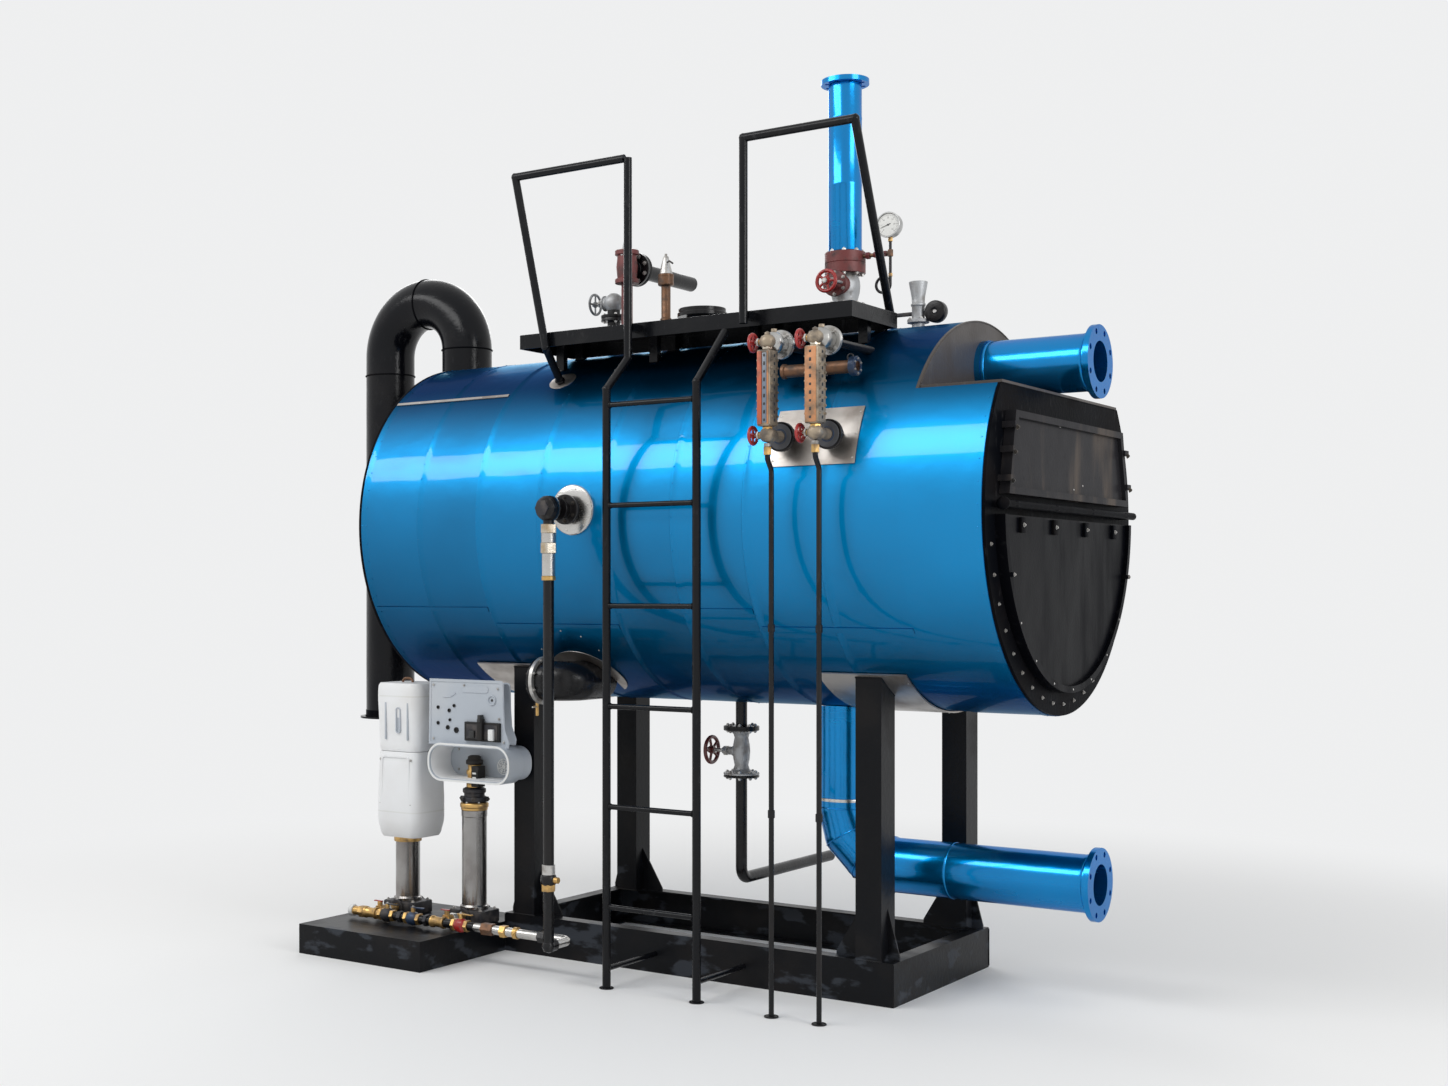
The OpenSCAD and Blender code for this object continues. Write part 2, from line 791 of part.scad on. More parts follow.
module ladder()
    color("#101114") {
        ladder_stiles();
        ladder_rungs();
    }

// Main stop valve on its nozzle, with the bonnet towards the ladder side
stop_bonnet = [48, 84];
stop_wheel_y = 172;
module stop_valve()
    color("#8d9096") {
        c = stop_rise;
        nozzle_r = steam_r + 10;
        top_body(outlet_x, 0, [
            [steam_r, -root], [nozzle_r, -root], [nozzle_r, c - 110], [92, c - 110],
            [92, c - 82], [nozzle_r + 4, c - 78], [62, c - 20], [62, c + 20],
            [nozzle_r + 2, c + 46], [stop_flange_r, c + 50], [stop_flange_r, c + stop_top],
            [steam_r, c + stop_top]
        ]);
        translate([outlet_x, 0, stop_z]) rotate([90, 0, 0]) {
            translate([0, 0, stop_bonnet[0]])
                cylinder(h = stop_bonnet[1] - stop_bonnet[0], r = 42);
            translate([0, 0, stop_bonnet[1]]) cylinder(h = 14, r = 54);
            translate([0, 0, stop_bonnet[1] + 14]) gland(17, 44, 8);
        }
    }

module stop_valve_wheel()
    color("#8a1f1c")
        translate([outlet_x, -stop_wheel_y, stop_z]) rotate([90, 0, 0])
            handwheel(stop_wheel_d, 7, 8, 50, 5);

// Clad riser from the stop valve to its top flange
riser_foot_t = 45;
module steam_riser()
    color("#0b7fd6")
        translate([outlet_x, 0, stop_z + stop_top]) {
            top_flange_t = 20;
            flange(2 * stop_flange_r, 2 * steam_r, riser_foot_t);
            translate([0, 0, riser_foot_t]) difference() {
                cylinder(h = riser_l - riser_foot_t - top_flange_t, d = riser_d);
                translate([0, 0, -cut]) cylinder(h = riser_l, r = steam_r);
            }
            translate([0, 0, riser_l - top_flange_t])
                flange(200, 2 * steam_r, top_flange_t, steam_pcd, 8, 18);
        }

// Pressure gauge beside the riser, with the syphon ring that hangs below it
module pressure_gauge()
    color("#d9dcdc") {
        dial_x = outlet_x + 206;
        dial_z = stop_z + 231;
        dial_r = 50;
        pipe_z = stop_z + stop_top + riser_foot_t / 2;
        syphon_r = 32;
        syphon_z = stop_z - 11;
        tube_r = 6;
        translate([dial_x, 0, dial_z]) rotate([90, 0, 0]) {
            cylinder(h = 40, r = dial_r, center = true);
            translate([0, 0, 20]) cylinder(h = 6, r = dial_r + 3);
        }
        rod([outlet_x + stop_flange_r + seat_gap, 0, pipe_z], [dial_x, 0, pipe_z], tube_r + 2);
        rod([dial_x, 0, syphon_z], [dial_x, 0, dial_z - dial_r + 5], tube_r);
        translate([dial_x - syphon_r, 0, syphon_z]) rotate([90, 0, 0])
            rotate_extrude() translate([syphon_r, 0]) circle(tube_r);
    }

// Lever safety valve with its round weight and the post of its lever
module weight_safety_valve()
    color("#3a3b3e") {
        lever_rise = 61;
        lever_z = shell_top + lever_rise;
        post_x = safety_x - 200;
        top_body(safety_x, 0, [
            [0, -root], [26, -root], [26, 20], [45, 20], [45, 36], [26, 36], [26, 110],
            [38, 190], [0, 190]
        ]);
        top_body(post_x, 0, [[0, -root], [12, -root], [12, lever_rise], [0, lever_rise]]);
        rod([post_x - 30, 0, lever_z], [safety_x + weight_arm + 16, 0, lever_z], 8);
        translate([safety_x + weight_arm, 0, lever_z]) rotate([90, 0, 0])
            cylinder(h = 40, r = 45, center = true);
    }

// Spring safety valve with its cap
module spring_safety_valve()
    color("#7a4a30")
        top_body(spring_x, 0, [
            [0, -root], [21, -root], [21, 60], [55, 60], [55, 78], [21, 78], [21, 296],
            [35, 300], [35, 350], [30, 352], [12, 430], [6, 432], [6, 443], [0, 443]
        ]);

// Flanged cover of the inspection opening
module top_cover()
    color("#17181b")
        top_body(cover_x, 0, [
            [0, -root], [70, -root], [70, 140], [110, 140], [110, 158], [105, 158],
            [105, 176], [0, 176]
        ]);

// Vent valve with its outlet flange and pipe towards the back
module vent_valve()
    color("#5a2a24") {
        c = vent_rise;
        vent_z = shell_top + vent_rise;
        top_body(vent_x, 0, [
            [0, -root], [26, -root], [26, 60], [60, 60], [60, 78], [26, 78], [26, c - 75],
            [55, c - 75], [55, c - 55], [44, c - 53], [48, c], [44, c + 53], [55, c + 55],
            [55, c + 75], [20, c + 77], [12, c + 175], [0, c + 175]
        ]);
        rod([vent_x, 0, vent_z], [vent_x, vent_reach, vent_z], vent_r);
        rod([vent_x, 62, vent_z], [vent_x, 98, vent_z], 76);
    }

// Grey gate valve with its wheel towards the rear end
gate_bonnet_l = 52;
gate_wheel_l = 105;
module gate_valve()
    color("#7d7f82") {
        c = gate_rise;
        top_body(gate_x, gate_y, [
            [0, -root], [30, -root], [30, c - 90], [60, c - 90], [60, c - 60], [30, c - 60],
            [30, c], [0, c]
        ]);
        translate([gate_x, gate_y, gate_z]) {
            sphere(45);
            rotate([0, -90, 0]) {
                cylinder(h = gate_bonnet_l, r = 30);
                translate([0, 0, gate_bonnet_l]) gland(15, 34, 6);
            }
        }
    }

module gate_valve_wheel()
    color("#6d6f72")
        translate([gate_x - gate_wheel_l, gate_y, gate_z]) rotate([0, -90, 0])
            handwheel(gate_wheel_d, 6, 6, 34);

// Pipe from one gauge cock to the drum, with its flange some way behind the gauge
module gauge_arm(x, z, nozzle_r, flange_r, body_r) {
    flange_y = -gauge_y + 96;
    difference() {
        union() {
            rod([x, -gauge_y, z], [x, 0, z], gauge_pipe_r);
            rod([x, flange_y, z], [x, 0, z], nozzle_r);
            rod([x, flange_y, z], [x, flange_y + 20, z], flange_r);
            rod([x, -gauge_y + 24, z], [x, flange_y, z], body_r);
        }
        drum_trim();
    }
}

// Level gauge: glass body between two cocks with glands for their stems
module level_gauge(x) {
    body_gap = 32;
    for (z = [gauge_low_z, gauge_high_z]) {
        translate([x, -gauge_y, z]) sphere(30);
        translate([x - gauge_gland_start, -gauge_y, z]) rotate([0, -90, 0])
            gland(13, gauge_gland_l, 5);
    }
    gauge_arm(x, gauge_high_z, gauge_pipe_r, 55, 42);
    gauge_arm(x, gauge_low_z, 28, 57, 20);
    translate([x - gauge_w / 2, -gauge_y - gauge_depth / 2, gauge_low_z + body_gap])
        cube([gauge_w, gauge_depth, gauge_l - 2 * body_gap]);
    rod([x, -gauge_y, gauge_low_z], [x, -gauge_y, gauge_high_z], 14);
}

module level_gauges() color("#7a3526") for (x = gauge_x) level_gauge(x);

// Handwheel of one level gauge cock
module gauge_wheel(x, z)
    color("#8a1f1c")
        translate([x - gauge_gland_start - gauge_gland_l - 16, -gauge_y, z]) rotate([0, -90, 0])
            handwheel(gauge_wheel_d, 5, 5, 30);

module gauge_wheel_1() gauge_wheel(gauge_x[0], gauge_high_z);

module gauge_wheel_2() gauge_wheel(gauge_x[0], gauge_low_z);

module gauge_wheel_3() gauge_wheel(gauge_x[1], gauge_high_z);

module gauge_wheel_4() gauge_wheel(gauge_x[1], gauge_low_z);

// Bare metal plate on the cladding behind the lower gauge pipes
module gauge_flashing() {
    half_h = 110;
    margin = 70;
    low = asin((gauge_low - half_h) / shell_r);
    high = asin((gauge_low + half_h) / shell_r);
    difference() {
        translate([gauge_x[0] - margin, 0, axis_z]) rotate([0, 90, 0])
            rotate(-90 - high) rotate_extrude(angle = high - low, $fn = 180)
                translate([seat_r, 0]) square([flashing_t, gauge_spacing + 2 * margin + 20]);
        for (x = gauge_x)
            rod([x, -gauge_y, gauge_low_z], [x, 0, gauge_low_z], 28 + cut);
    }
}

// Round bare metal plate on the cladding round the handhole's neck
module hand_flashing() {
    plate_r = 172;
    plate_x = hand_x - 30;
    tilt = asin((axis_z - hand_z - 20) / shell_r);
    difference() {
        intersection() {
            disc_x(plate_x - plate_r - cut, 2 * plate_r + 2 * cut, seat_r + flashing_t, $fn = 180);
            translate([plate_x, 0, axis_z]) rotate([90 + tilt, 0, 0])
                cylinder(h = shell_r + root, r = plate_r);
        }
        disc_x(plate_x - plate_r - 2 * cut, 2 * plate_r + 4 * cut, seat_r, $fn = 180);
        rod([hand_x, -shell_r, hand_z], [hand_x, 0, hand_z], hand_r + cut);
    }
}

module flashing_plates()
    color("#9a9c9c") {
        gauge_flashing();
        hand_flashing();
    }

// Drain pipes from the gauges to the floor
module gauge_drains()
    color("#141518")
        for (x = gauge_x) {
            drain_y = -gauge_y + 30;
            pipe_run([
                [x, drain_y, 0], [x, drain_y, gauge_low_z - 130],
                [x, -gauge_y, gauge_low_z - 90], [x, -gauge_y, gauge_low_z - 30 - seat_gap]
            ], 10);
            translate([x, -gauge_y, gauge_low_z - 75]) cylinder(h = 30, r = 16);
            translate([x, drain_y, 0]) cylinder(h = 6, r = 28);
        }

// Level switch under the upper gauge pipes
module level_switch()
    color("#7a4a30") {
        z = gauge_high_z - 80;
        y = -skin_y(z) - 80;
        left = gauge_x[0] - 70;
        right = gauge_x[1] + 10;
        difference() {
            rod([gauge_x[0] + 70, y, z], [gauge_x[0] + 70, 0, z], 20);
            drum_trim();
        }
        rod([left, y, z], [right, y, z], 25);
        rod([right, y, z], [right + 26, y, z], 38);
        rod([left - 14, y, z], [left, y, z], 30);
    }

// Feed water inlet with its check valve, union, down pipe and stop cock
module feed_inlet()
    color("#17181b") {
        rosette_t = 12;
        difference() {
            union() {
                rod([feed_x, feed_y, feed_z], [feed_x, 0, feed_z], 28);
                rod([feed_x, -shell_r - rosette_t, feed_z], [feed_x, 0, feed_z], 105);
                rod([feed_x, -shell_r - 60, feed_z], [feed_x, -shell_r - 42, feed_z], 62);
                rod([feed_x, feed_y + 60, feed_z], [feed_x, feed_y - 30, feed_z], 48);
                translate([feed_x, feed_y, feed_z]) sphere(52);
            }
            drum_trim();
        }
        translate([feed_x, feed_y - 30, feed_z]) rotate([90, 0, 0])
            cylinder(h = 22, r = 34, $fn = 6);
        rod([feed_x, feed_y, manifold_z], [feed_x, feed_y, feed_z], feed_r);
        for (ring = [[-100, 36, 34, 6], [-140, 40, 31, 64], [-182, 42, 35, 6], [-290, 108, 28, 64]])
            translate([feed_x, feed_y, feed_z + ring[0]])
                cylinder(h = ring[1], r = ring[2], $fn = ring[3]);
        cock_z = manifold_z + 270;
        translate([feed_x, feed_y, cock_z]) sphere(34);
        translate([feed_x, feed_y, cock_z + 15]) cylinder(h = 45, r = 27);
        translate([feed_x, feed_y, cock_z - 47]) cylinder(h = 30, r = 30, $fn = 6);
        translate([feed_x, feed_y, manifold_z]) sphere(feed_r + 6);
        rod([feed_x, feed_y, manifold_z], [feed_x, feed_y + 40, manifold_z], feed_r + 3);
    }

// Handhole elbow low on the ladder side, with its bolted cover and drain cock
module handhole()
    color("#17181b") {
        flange_x = hand_x - hand_bend_r - 50;
        cock_z = hand_z - 62;
        difference() {
            rod([hand_x, hand_y + hand_bend_r, hand_z], [hand_x, 0, hand_z], hand_r);
            drum_trim();
        }
        translate([hand_x - hand_bend_r, hand_y + hand_bend_r, hand_z])
            rotate(-90) rotate_extrude(angle = 90) translate([hand_bend_r, 0]) circle(hand_r);
        rod([hand_x - hand_bend_r, hand_y, hand_z], [flange_x, hand_y, hand_z], hand_r);
        rod([flange_x + 18, hand_y, hand_z], [flange_x, hand_y, hand_z], 103);
        rod([flange_x, hand_y, hand_z], [flange_x - 14, hand_y, hand_z], 99);
        rod([flange_x - 14, hand_y, cock_z], [flange_x - 32, hand_y, cock_z], 9);
        rod([flange_x - 26, hand_y, cock_z + 12], [flange_x - 26, hand_y, cock_z - 90], 8);
    }

// Blowdown nozzle, valve and pipe to the back
blow_wheel_x = 150;
module blowdown_valve()
    color("#8d9096") {
        difference() {
            translate([0, 0, blow_z]) rotate_extrude() polygon([
                [0, blow_drop + root], [blow_r, blow_drop + root], [blow_r, 112], [78, 112],
                [78, 92], [46, 88], [30, 70], [38, 20], [38, -20], [30, -70], [50, -88],
                [78, -92], [78, -112], [0, -112]
            ]);
            drum_trim();
        }
        pipe_run([[0, 0, blow_z - 100], [0, 0, blow_pipe_z], [0, blow_pipe_end_y, blow_pipe_z]], blow_r);
        translate([-30, 0, blow_z]) rotate([0, -90, 0]) gland(18, 64, 8);
    }

module blowdown_wheel()
    color("#6e1c1a")
        translate([-blow_wheel_x, 0, blow_z]) rotate([0, -90, 0])
            handwheel(blowdown_wheel_d, 7, 8, 88);

// Low frame that carries the feed pumps beside the skid
module pump_frame()
    color("#15161a") {
        plate_t = 8;
        low_x = -skid_l / 2 - pump_frame_l;
        low_y = -skid_w / 2 - pump_frame_reach;
        translate([low_x, low_y, pump_frame_h - plate_t])
            cube([pump_frame_l, pump_frame_w, plate_t]);
        difference() {
            translate([low_x, low_y, 0])
                cube([pump_frame_l, pump_frame_w, pump_frame_h - plate_t]);
            translate([low_x + plate_t, low_y + plate_t, -cut])
                cube([pump_frame_l - 2 * plate_t, pump_frame_w - 2 * plate_t, pump_frame_h]);
        }
    }

// Foot and column of a pump
module pump_column(height) {
    translate([-pump_base.x / 2, -pump_base.y / 2, 0]) cube(pump_base);
    cylinder(h = height, r = column_r);
}

// Pump beside the skid, with its lantern and the open shroud over its motor
module near_pump() {
    column_h = 500;
    lantern_h = 130;
    shroud = [420, 190, 170];
    shroud_wall = 12;
    shroud_r = 45;
    mouth = 150;
    shroud_z = column_h + lantern_h;
    pump_column(column_h);
    translate([0, 0, column_h]) cylinder(h = 34, r = column_r + 6);
    translate([0, 0, column_h]) cylinder(h = lantern_h + 112, r = 42);
    translate([25, shroud.y / 2 - 10, shroud_z + shroud.z / 2]) rotate([90, 0, 0])
        difference() {
            rounded_box(shroud.x, shroud.z, shroud.y, shroud_r);
            translate([0, 0, shroud.y - mouth])
                rounded_box(shroud.x - 2 * shroud_wall, shroud.z - 2 * shroud_wall, mouth + cut,
                    shroud_r - shroud_wall);
        }
    translate([0, -40, shroud_z + shroud.z]) rounded_box(380, 70, 270, 14);
}

// Pump farther from the skid, under its tall cover
module far_pump() {
    column_h = 360;
    pump_column(column_h);
    translate([0, 0, column_h - 3]) rounded_box(250, 230, 700, 45);
}

// Two upright pumps with their motor covers
module feed_pumps()
    color("#a9acae") {
        translate([pump_x[0], pump_y, pump_frame_h]) near_pump();
        translate([pump_x[1], pump_y, pump_frame_h]) far_pump();
    }

// Suction and delivery pipes from the pumps to the feed pipe
module pump_manifold()
    color("#a47a35") {
        end_x = pump_x[1] - 125;
        for (x = pump_x)
            rod([x, manifold_y, manifold_z], [x, pump_y - pump_base.y / 2, manifold_z], manifold_r - 2);
        pipe_run([
            [end_x, manifold_y, manifold_z], [feed_x, manifold_y, manifold_z],
            [feed_x, feed_y + 40, manifold_z]
        ], manifold_r);
    }

base_long_rails();
base_end_rails();
legs();
saddle_plates();
casing_course_1();
casing_course_2();
casing_course_3();
casing_course_4();
smokebox_casing();
rear_end_plate();
front_end_plate();
pocket_plates();
smoke_doors();
door_bar();
rear_smoke_hood();
flue_bend();
gas_ducts();
platform();
handrails();
ladder();
stop_valve();
stop_valve_wheel();
steam_riser();
pressure_gauge();
weight_safety_valve();
spring_safety_valve();
vent_valve();
gate_valve();
gate_valve_wheel();
top_cover();
level_gauges();
gauge_wheel_1();
gauge_wheel_2();
gauge_wheel_3();
gauge_wheel_4();
flashing_plates();
gauge_drains();
level_switch();
feed_inlet();
handhole();
blowdown_valve();
blowdown_wheel();
pump_frame();
feed_pumps();
pump_manifold();
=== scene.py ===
"""Blender scene of a horizontal steam boiler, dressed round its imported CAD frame."""
import json
import math

import bmesh
import bpy
from mathutils import Matrix, Vector, noise


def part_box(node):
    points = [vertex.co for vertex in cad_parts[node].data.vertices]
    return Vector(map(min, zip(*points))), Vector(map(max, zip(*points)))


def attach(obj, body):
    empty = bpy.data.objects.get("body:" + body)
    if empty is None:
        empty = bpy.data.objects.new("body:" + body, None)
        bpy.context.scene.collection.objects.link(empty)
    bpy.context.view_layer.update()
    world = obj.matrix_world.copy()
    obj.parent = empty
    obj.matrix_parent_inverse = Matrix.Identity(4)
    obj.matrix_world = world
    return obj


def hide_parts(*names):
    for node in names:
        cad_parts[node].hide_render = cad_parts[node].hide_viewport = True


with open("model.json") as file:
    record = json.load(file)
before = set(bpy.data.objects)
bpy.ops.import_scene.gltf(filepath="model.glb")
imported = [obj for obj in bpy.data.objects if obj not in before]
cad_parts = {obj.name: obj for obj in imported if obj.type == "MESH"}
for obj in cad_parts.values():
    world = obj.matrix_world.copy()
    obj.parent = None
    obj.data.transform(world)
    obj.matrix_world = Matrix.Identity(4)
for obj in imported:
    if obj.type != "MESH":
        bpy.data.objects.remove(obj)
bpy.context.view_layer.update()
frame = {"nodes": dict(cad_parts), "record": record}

# Sizes of the drum, from the frame, and places of the parts round it

REAR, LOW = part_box("casing_course_1")[0][0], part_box("casing_course_1")[0][2]
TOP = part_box("casing_course_1")[1][2]
POCKET_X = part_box("casing_course_4")[1][0]
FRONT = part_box("smokebox_casing")[1][0]
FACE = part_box("front_end_plate")[1][0]
DRUM_R = (TOP - LOW) / 2
AXIS_Z = (TOP + LOW) / 2
COURSE = (POCKET_X - REAR) / 4
SHEET = COURSE / 2
X, Y, Z = Vector((1, 0, 0)), Vector((0, 1, 0)), Vector((0, 0, 1))


LEG_X, LEG_Y = 0.835, 0.41
LEG_DEEP, LEG_WIDE = 0.055, 0.06
STILES_X, LADDER_Y = (-0.144, 0.28), -0.835
RUNG_LOW, RUNG_STEP = 0.33, 0.405
GAUGES_X, GAUGE_Y = (0.63, 0.83), -0.9
GAUGE_LOW, GAUGE_HIGH = 2.19, 2.54
FEED = Vector((-0.35, -0.95, 1.94))
PUMP_Y, LINE_Y, LINE_Z = -0.56, -0.81, 0.165


def skin(height):
    """How far the drum's skin is from the axis plane at a height."""
    return math.sqrt(max(DRUM_R ** 2 - (height - AXIS_Z) ** 2, 0))


def crest(y, radius=DRUM_R):
    """Height of the drum's skin above a line along it."""
    return AXIS_Z + math.sqrt(radius ** 2 - y ** 2)


def polar(radius, degrees):
    """Point on a circle about zero."""
    turn = math.radians(degrees)
    return radius * math.cos(turn), radius * math.sin(turn)


def on_drum(x, degrees, radius):
    """Place round the drum's axis."""
    across, up = polar(radius, degrees)
    return Vector((x, across, AXIS_Z + up))


def mm(*numbers):
    """Pairs in metres from millimetres: a profile's radii and heights, or a drawing's points."""
    return [(a / 1000, b / 1000) for a, b in zip(numbers[::2], numbers[1::2])]


def tube(inner, outer, length):
    """Profile of a plain ring."""
    return [(inner, 0), (outer, 0), (outer, length), (inner, length), (inner, 0)]


def oblong(low, high):
    """Corners of a rectangle, in order round it."""
    return [(low[0], low[1]), (high[0], low[1]), (high[0], high[1]), (low[0], high[1])]


# Node trees

def evaluated(thing):
    """Plain mesh of an object that isn't kept."""
    bpy.context.scene.collection.objects.link(thing)
    graph = bpy.context.evaluated_depsgraph_get()
    mesh = bpy.data.meshes.new_from_object(thing.evaluated_get(graph))
    bpy.data.objects.remove(thing)
    return mesh


class Wire:
    """A node's output that takes part in Python arithmetic."""

    def __init__(self, tree, socket):
        self.tree = tree
        self.socket = socket

    def math(self, operation, first, second=0.0):
        return self.tree.node("ShaderNodeMath", {"operation": operation}, {0: first, 1: second})

    def __add__(self, other):
        return self.math("ADD", self, other)

    def __radd__(self, other):
        return self.math("ADD", other, self)

    def __sub__(self, other):
        return self.math("SUBTRACT", self, other)

    def __rsub__(self, other):
        return self.math("SUBTRACT", other, self)

    def __mul__(self, other):
        return self.math("MULTIPLY", self, other)

    def __rmul__(self, other):
        return self.math("MULTIPLY", other, self)

    def __truediv__(self, other):
        return self.math("DIVIDE", self, other)

    def __gt__(self, other):
        return self.math("GREATER_THAN", self, other)

    def floor(self):
        return self.math("FLOOR", self)

    def fract(self):
        return self.math("FRACT", self)

    def ramp(self, low, high):
        """Smooth step from 0 at low to 1 at high."""
        settings = {"interpolation_type": "SMOOTHSTEP"}
        values = {"Value": self, "From Min": low, "From Max": high}
        return self.tree.node("ShaderNodeMapRange", settings, values)


class Tree:
    """A node tree whose nodes come from a type, settings and inputs."""

    def __init__(self, tree):
        self.tree = tree

    def node(self, kind, settings=None, inputs=None, out=0):
        node = self.tree.nodes.new(kind)
        for name, value in (settings or {}).items():
            setattr(node, name, value)
        for name, value in (inputs or {}).items():
            self.feed(node.inputs[name], value)
        return Wire(self, node.outputs[out])

    def feed(self, socket, value):
        for part in value if isinstance(value, list) else [value]:
            if isinstance(part, Wire):
                self.tree.links.new(part.socket, socket)
            else:
                socket.default_value = part


class Growth(Tree):
    """A geometry tree with named inputs that ends in one finished mesh."""

    def __init__(self, name, **inputs):
        super().__init__(bpy.data.node_groups.new(name, "GeometryNodeTree"))
        face = self.tree.interface
        face.new_socket("Geometry", in_out="OUTPUT", socket_type="NodeSocketGeometry")
        for label, kind in {"Geometry": "Geometry", "Material": "Material", **inputs}.items():
            face.new_socket(label, in_out="INPUT", socket_type=f"NodeSocket{kind}")
        entry = self.tree.nodes.new("NodeGroupInput")
        self.inputs = {s.name: Wire(self, s) for s in entry.outputs if s.name}

    def end(self, geometry):
        whole = self.node("GeometryNodeRealizeInstances", inputs={0: geometry})
        dressed = {"Geometry": whole, "Material": self.inputs["Material"]}
        last = self.node("GeometryNodeSetMaterial", inputs=dressed)
        self.feed(self.tree.nodes.new("NodeGroupOutput").inputs[0], last)

    def cylinder(self, sides, radius, depth, lift=0.0):
        inputs = {"Vertices": sides, "Radius": radius, "Depth": depth}
        bar = self.node("GeometryNodeMeshCylinder", inputs=inputs)
        move = {"Geometry": bar, "Translation": (0, 0, lift)}
        return self.node("GeometryNodeTransform", inputs=move)

    def circle(self, sides, radius):
        inputs = {"Resolution": sides, "Radius": radius}
        return self.node("GeometryNodeCurvePrimitiveCircle", inputs=inputs)

    def swept(self, path, section, **more):
        inputs = {"Curve": path, "Profile Curve": section, **more}
        return self.node("GeometryNodeCurveToMesh", inputs=inputs)

    def joined(self, *parts):
        return self.node("GeometryNodeJoinGeometry", inputs={0: list(parts)})

    def aimed(self, vector):
        return self.node("FunctionNodeAlignRotationToVector", {"axis": "Z"}, {"Vector": vector})

    def run(self, mesh, finish, **values):
        """Plain mesh that the tree makes from a mesh."""
        holder = bpy.data.objects.new("seed", mesh)
        modifier = holder.modifiers.new("growth", "NODES")
        modifier.node_group = self.tree
        values["Material"] = FINISH[finish]
        for item in self.tree.interface.items_tree:
            if item.in_out == "INPUT" and item.name in values:
                modifier[item.identifier] = values[item.name]
        made = evaluated(holder)
        bpy.data.meshes.remove(mesh)
        return made


def pipe_growth():
    """Round pipe along the edges of a mesh, with its corners bent."""
    tree = Growth("pipe", Radius="Float", Bend="Float", Sides="Int")
    line = tree.node("GeometryNodeMeshToCurve", inputs={0: tree.inputs["Geometry"]})
    bend = {"Curve": line, "Radius": tree.inputs["Bend"], "Limit Radius": True, "Count": 10}
    path = tree.node("GeometryNodeFilletCurve", {"mode": "POLY"}, bend)
    section = tree.circle(tree.inputs["Sides"], tree.inputs["Radius"])
    tree.end(tree.swept(path, section, **{"Fill Caps": True}))
    return tree


def placed(tree, instance, axis="Z"):
    """Instances on points, turned by their way and scaled by their size."""
    ways = tree.node("GeometryNodeInputNamedAttribute", {"data_type": "FLOAT_VECTOR"}, {0: "way"})
    sizes = tree.node("GeometryNodeInputNamedAttribute", {"data_type": "FLOAT"}, {0: "size"})
    turn = tree.node("FunctionNodeAlignRotationToVector", {"axis": axis}, {"Vector": ways})
    inputs = {"Points": tree.inputs["Geometry"], "Instance": instance, "Rotation": turn, "Scale": sizes}
    tree.end(tree.node("GeometryNodeInstanceOnPoints", inputs=inputs))
    return tree


def bolt_growth():
    """Hex head on a washer, with the stud's end proud of it."""
    tree = Growth("bolts")
    washer = tree.cylinder(14, 1.35, 0.16, 0.08)
    head = tree.cylinder(6, 1.0, 0.75, 0.53)
    stud = tree.cylinder(10, 0.55, 0.4, 1.1)
    return placed(tree, tree.joined(washer, head, stud))


def rivet_growth():
    """Low domed rivet head."""
    tree = Growth("rivets")
    ball = tree.node("GeometryNodeMeshUVSphere", inputs={"Segments": 10, "Rings": 6, "Radius": 1.0})
    flat = {"Geometry": ball, "Scale": (1, 1, 0.55)}
    return placed(tree, tree.node("GeometryNodeTransform", inputs=flat))


def wheel_growth():
    """Handwheel about the Z axis: rim, spokes and hub."""
    sizes = {"Radius": "Float", "Rim": "Float", "Spoke": "Float", "Hub": "Float", "Depth": "Float"}
    tree = Growth("handwheel", Spokes="Int", **sizes)
    reach = tree.inputs["Radius"]
    rim = tree.swept(tree.circle(56, reach), tree.circle(14, tree.inputs["Rim"]))
    seats = {"Vertices": tree.inputs["Spokes"], "Radius": reach * 0.5}
    circle = tree.node("GeometryNodeMeshCircle", inputs=seats)
    bar = tree.cylinder(12, tree.inputs["Spoke"], reach)
    along = tree.aimed(tree.node("GeometryNodeInputPosition"))
    inputs = {"Points": circle, "Instance": bar, "Rotation": along}
    spokes = tree.node("GeometryNodeInstanceOnPoints", inputs=inputs)
    hub = tree.cylinder(24, tree.inputs["Hub"], tree.inputs["Depth"])
    collar = tree.cylinder(24, tree.inputs["Hub"] * 1.25, tree.inputs["Depth"] * 0.45)
    tree.end(tree.joined(rim, spokes, hub, collar))
    return tree


def flange_growth():
    """Flat ring with a bore and a circle of holes, from the XY plane up."""
    sizes = {"Outer": "Float", "Bore": "Float", "Circle": "Float", "Hole": "Float"}
    tree = Growth("flange", Holes="Int", Thickness="Float", **sizes)
    seats = {"Vertices": tree.inputs["Holes"], "Radius": tree.inputs["Circle"]}
    circle = tree.node("GeometryNodeMeshCircle", inputs=seats)
    inputs = {"Points": circle, "Instance": tree.circle(16, tree.inputs["Hole"])}
    holes = tree.node("GeometryNodeInstanceOnPoints", inputs=inputs)
    edges = [tree.circle(64, tree.inputs[name]) for name in ("Outer", "Bore")]
    curves = tree.joined(*edges, holes)
    flat = {"Curve": tree.node("GeometryNodeRealizeInstances", inputs={0: curves})}
    face = tree.node("GeometryNodeFillCurve", {"mode": "TRIANGLES"}, flat)
    lift = {"Mesh": face, "Offset Scale": tree.inputs["Thickness"], "Individual": False}
    lid = tree.node("GeometryNodeExtrudeMesh", inputs=lift)
    back = tree.node("GeometryNodeFlipFaces", inputs={"Mesh": face})
    both = tree.joined(lid, back)
    tree.end(tree.node("GeometryNodeMergeByDistance", inputs={"Geometry": both, "Distance": 1e-5}))
    return tree


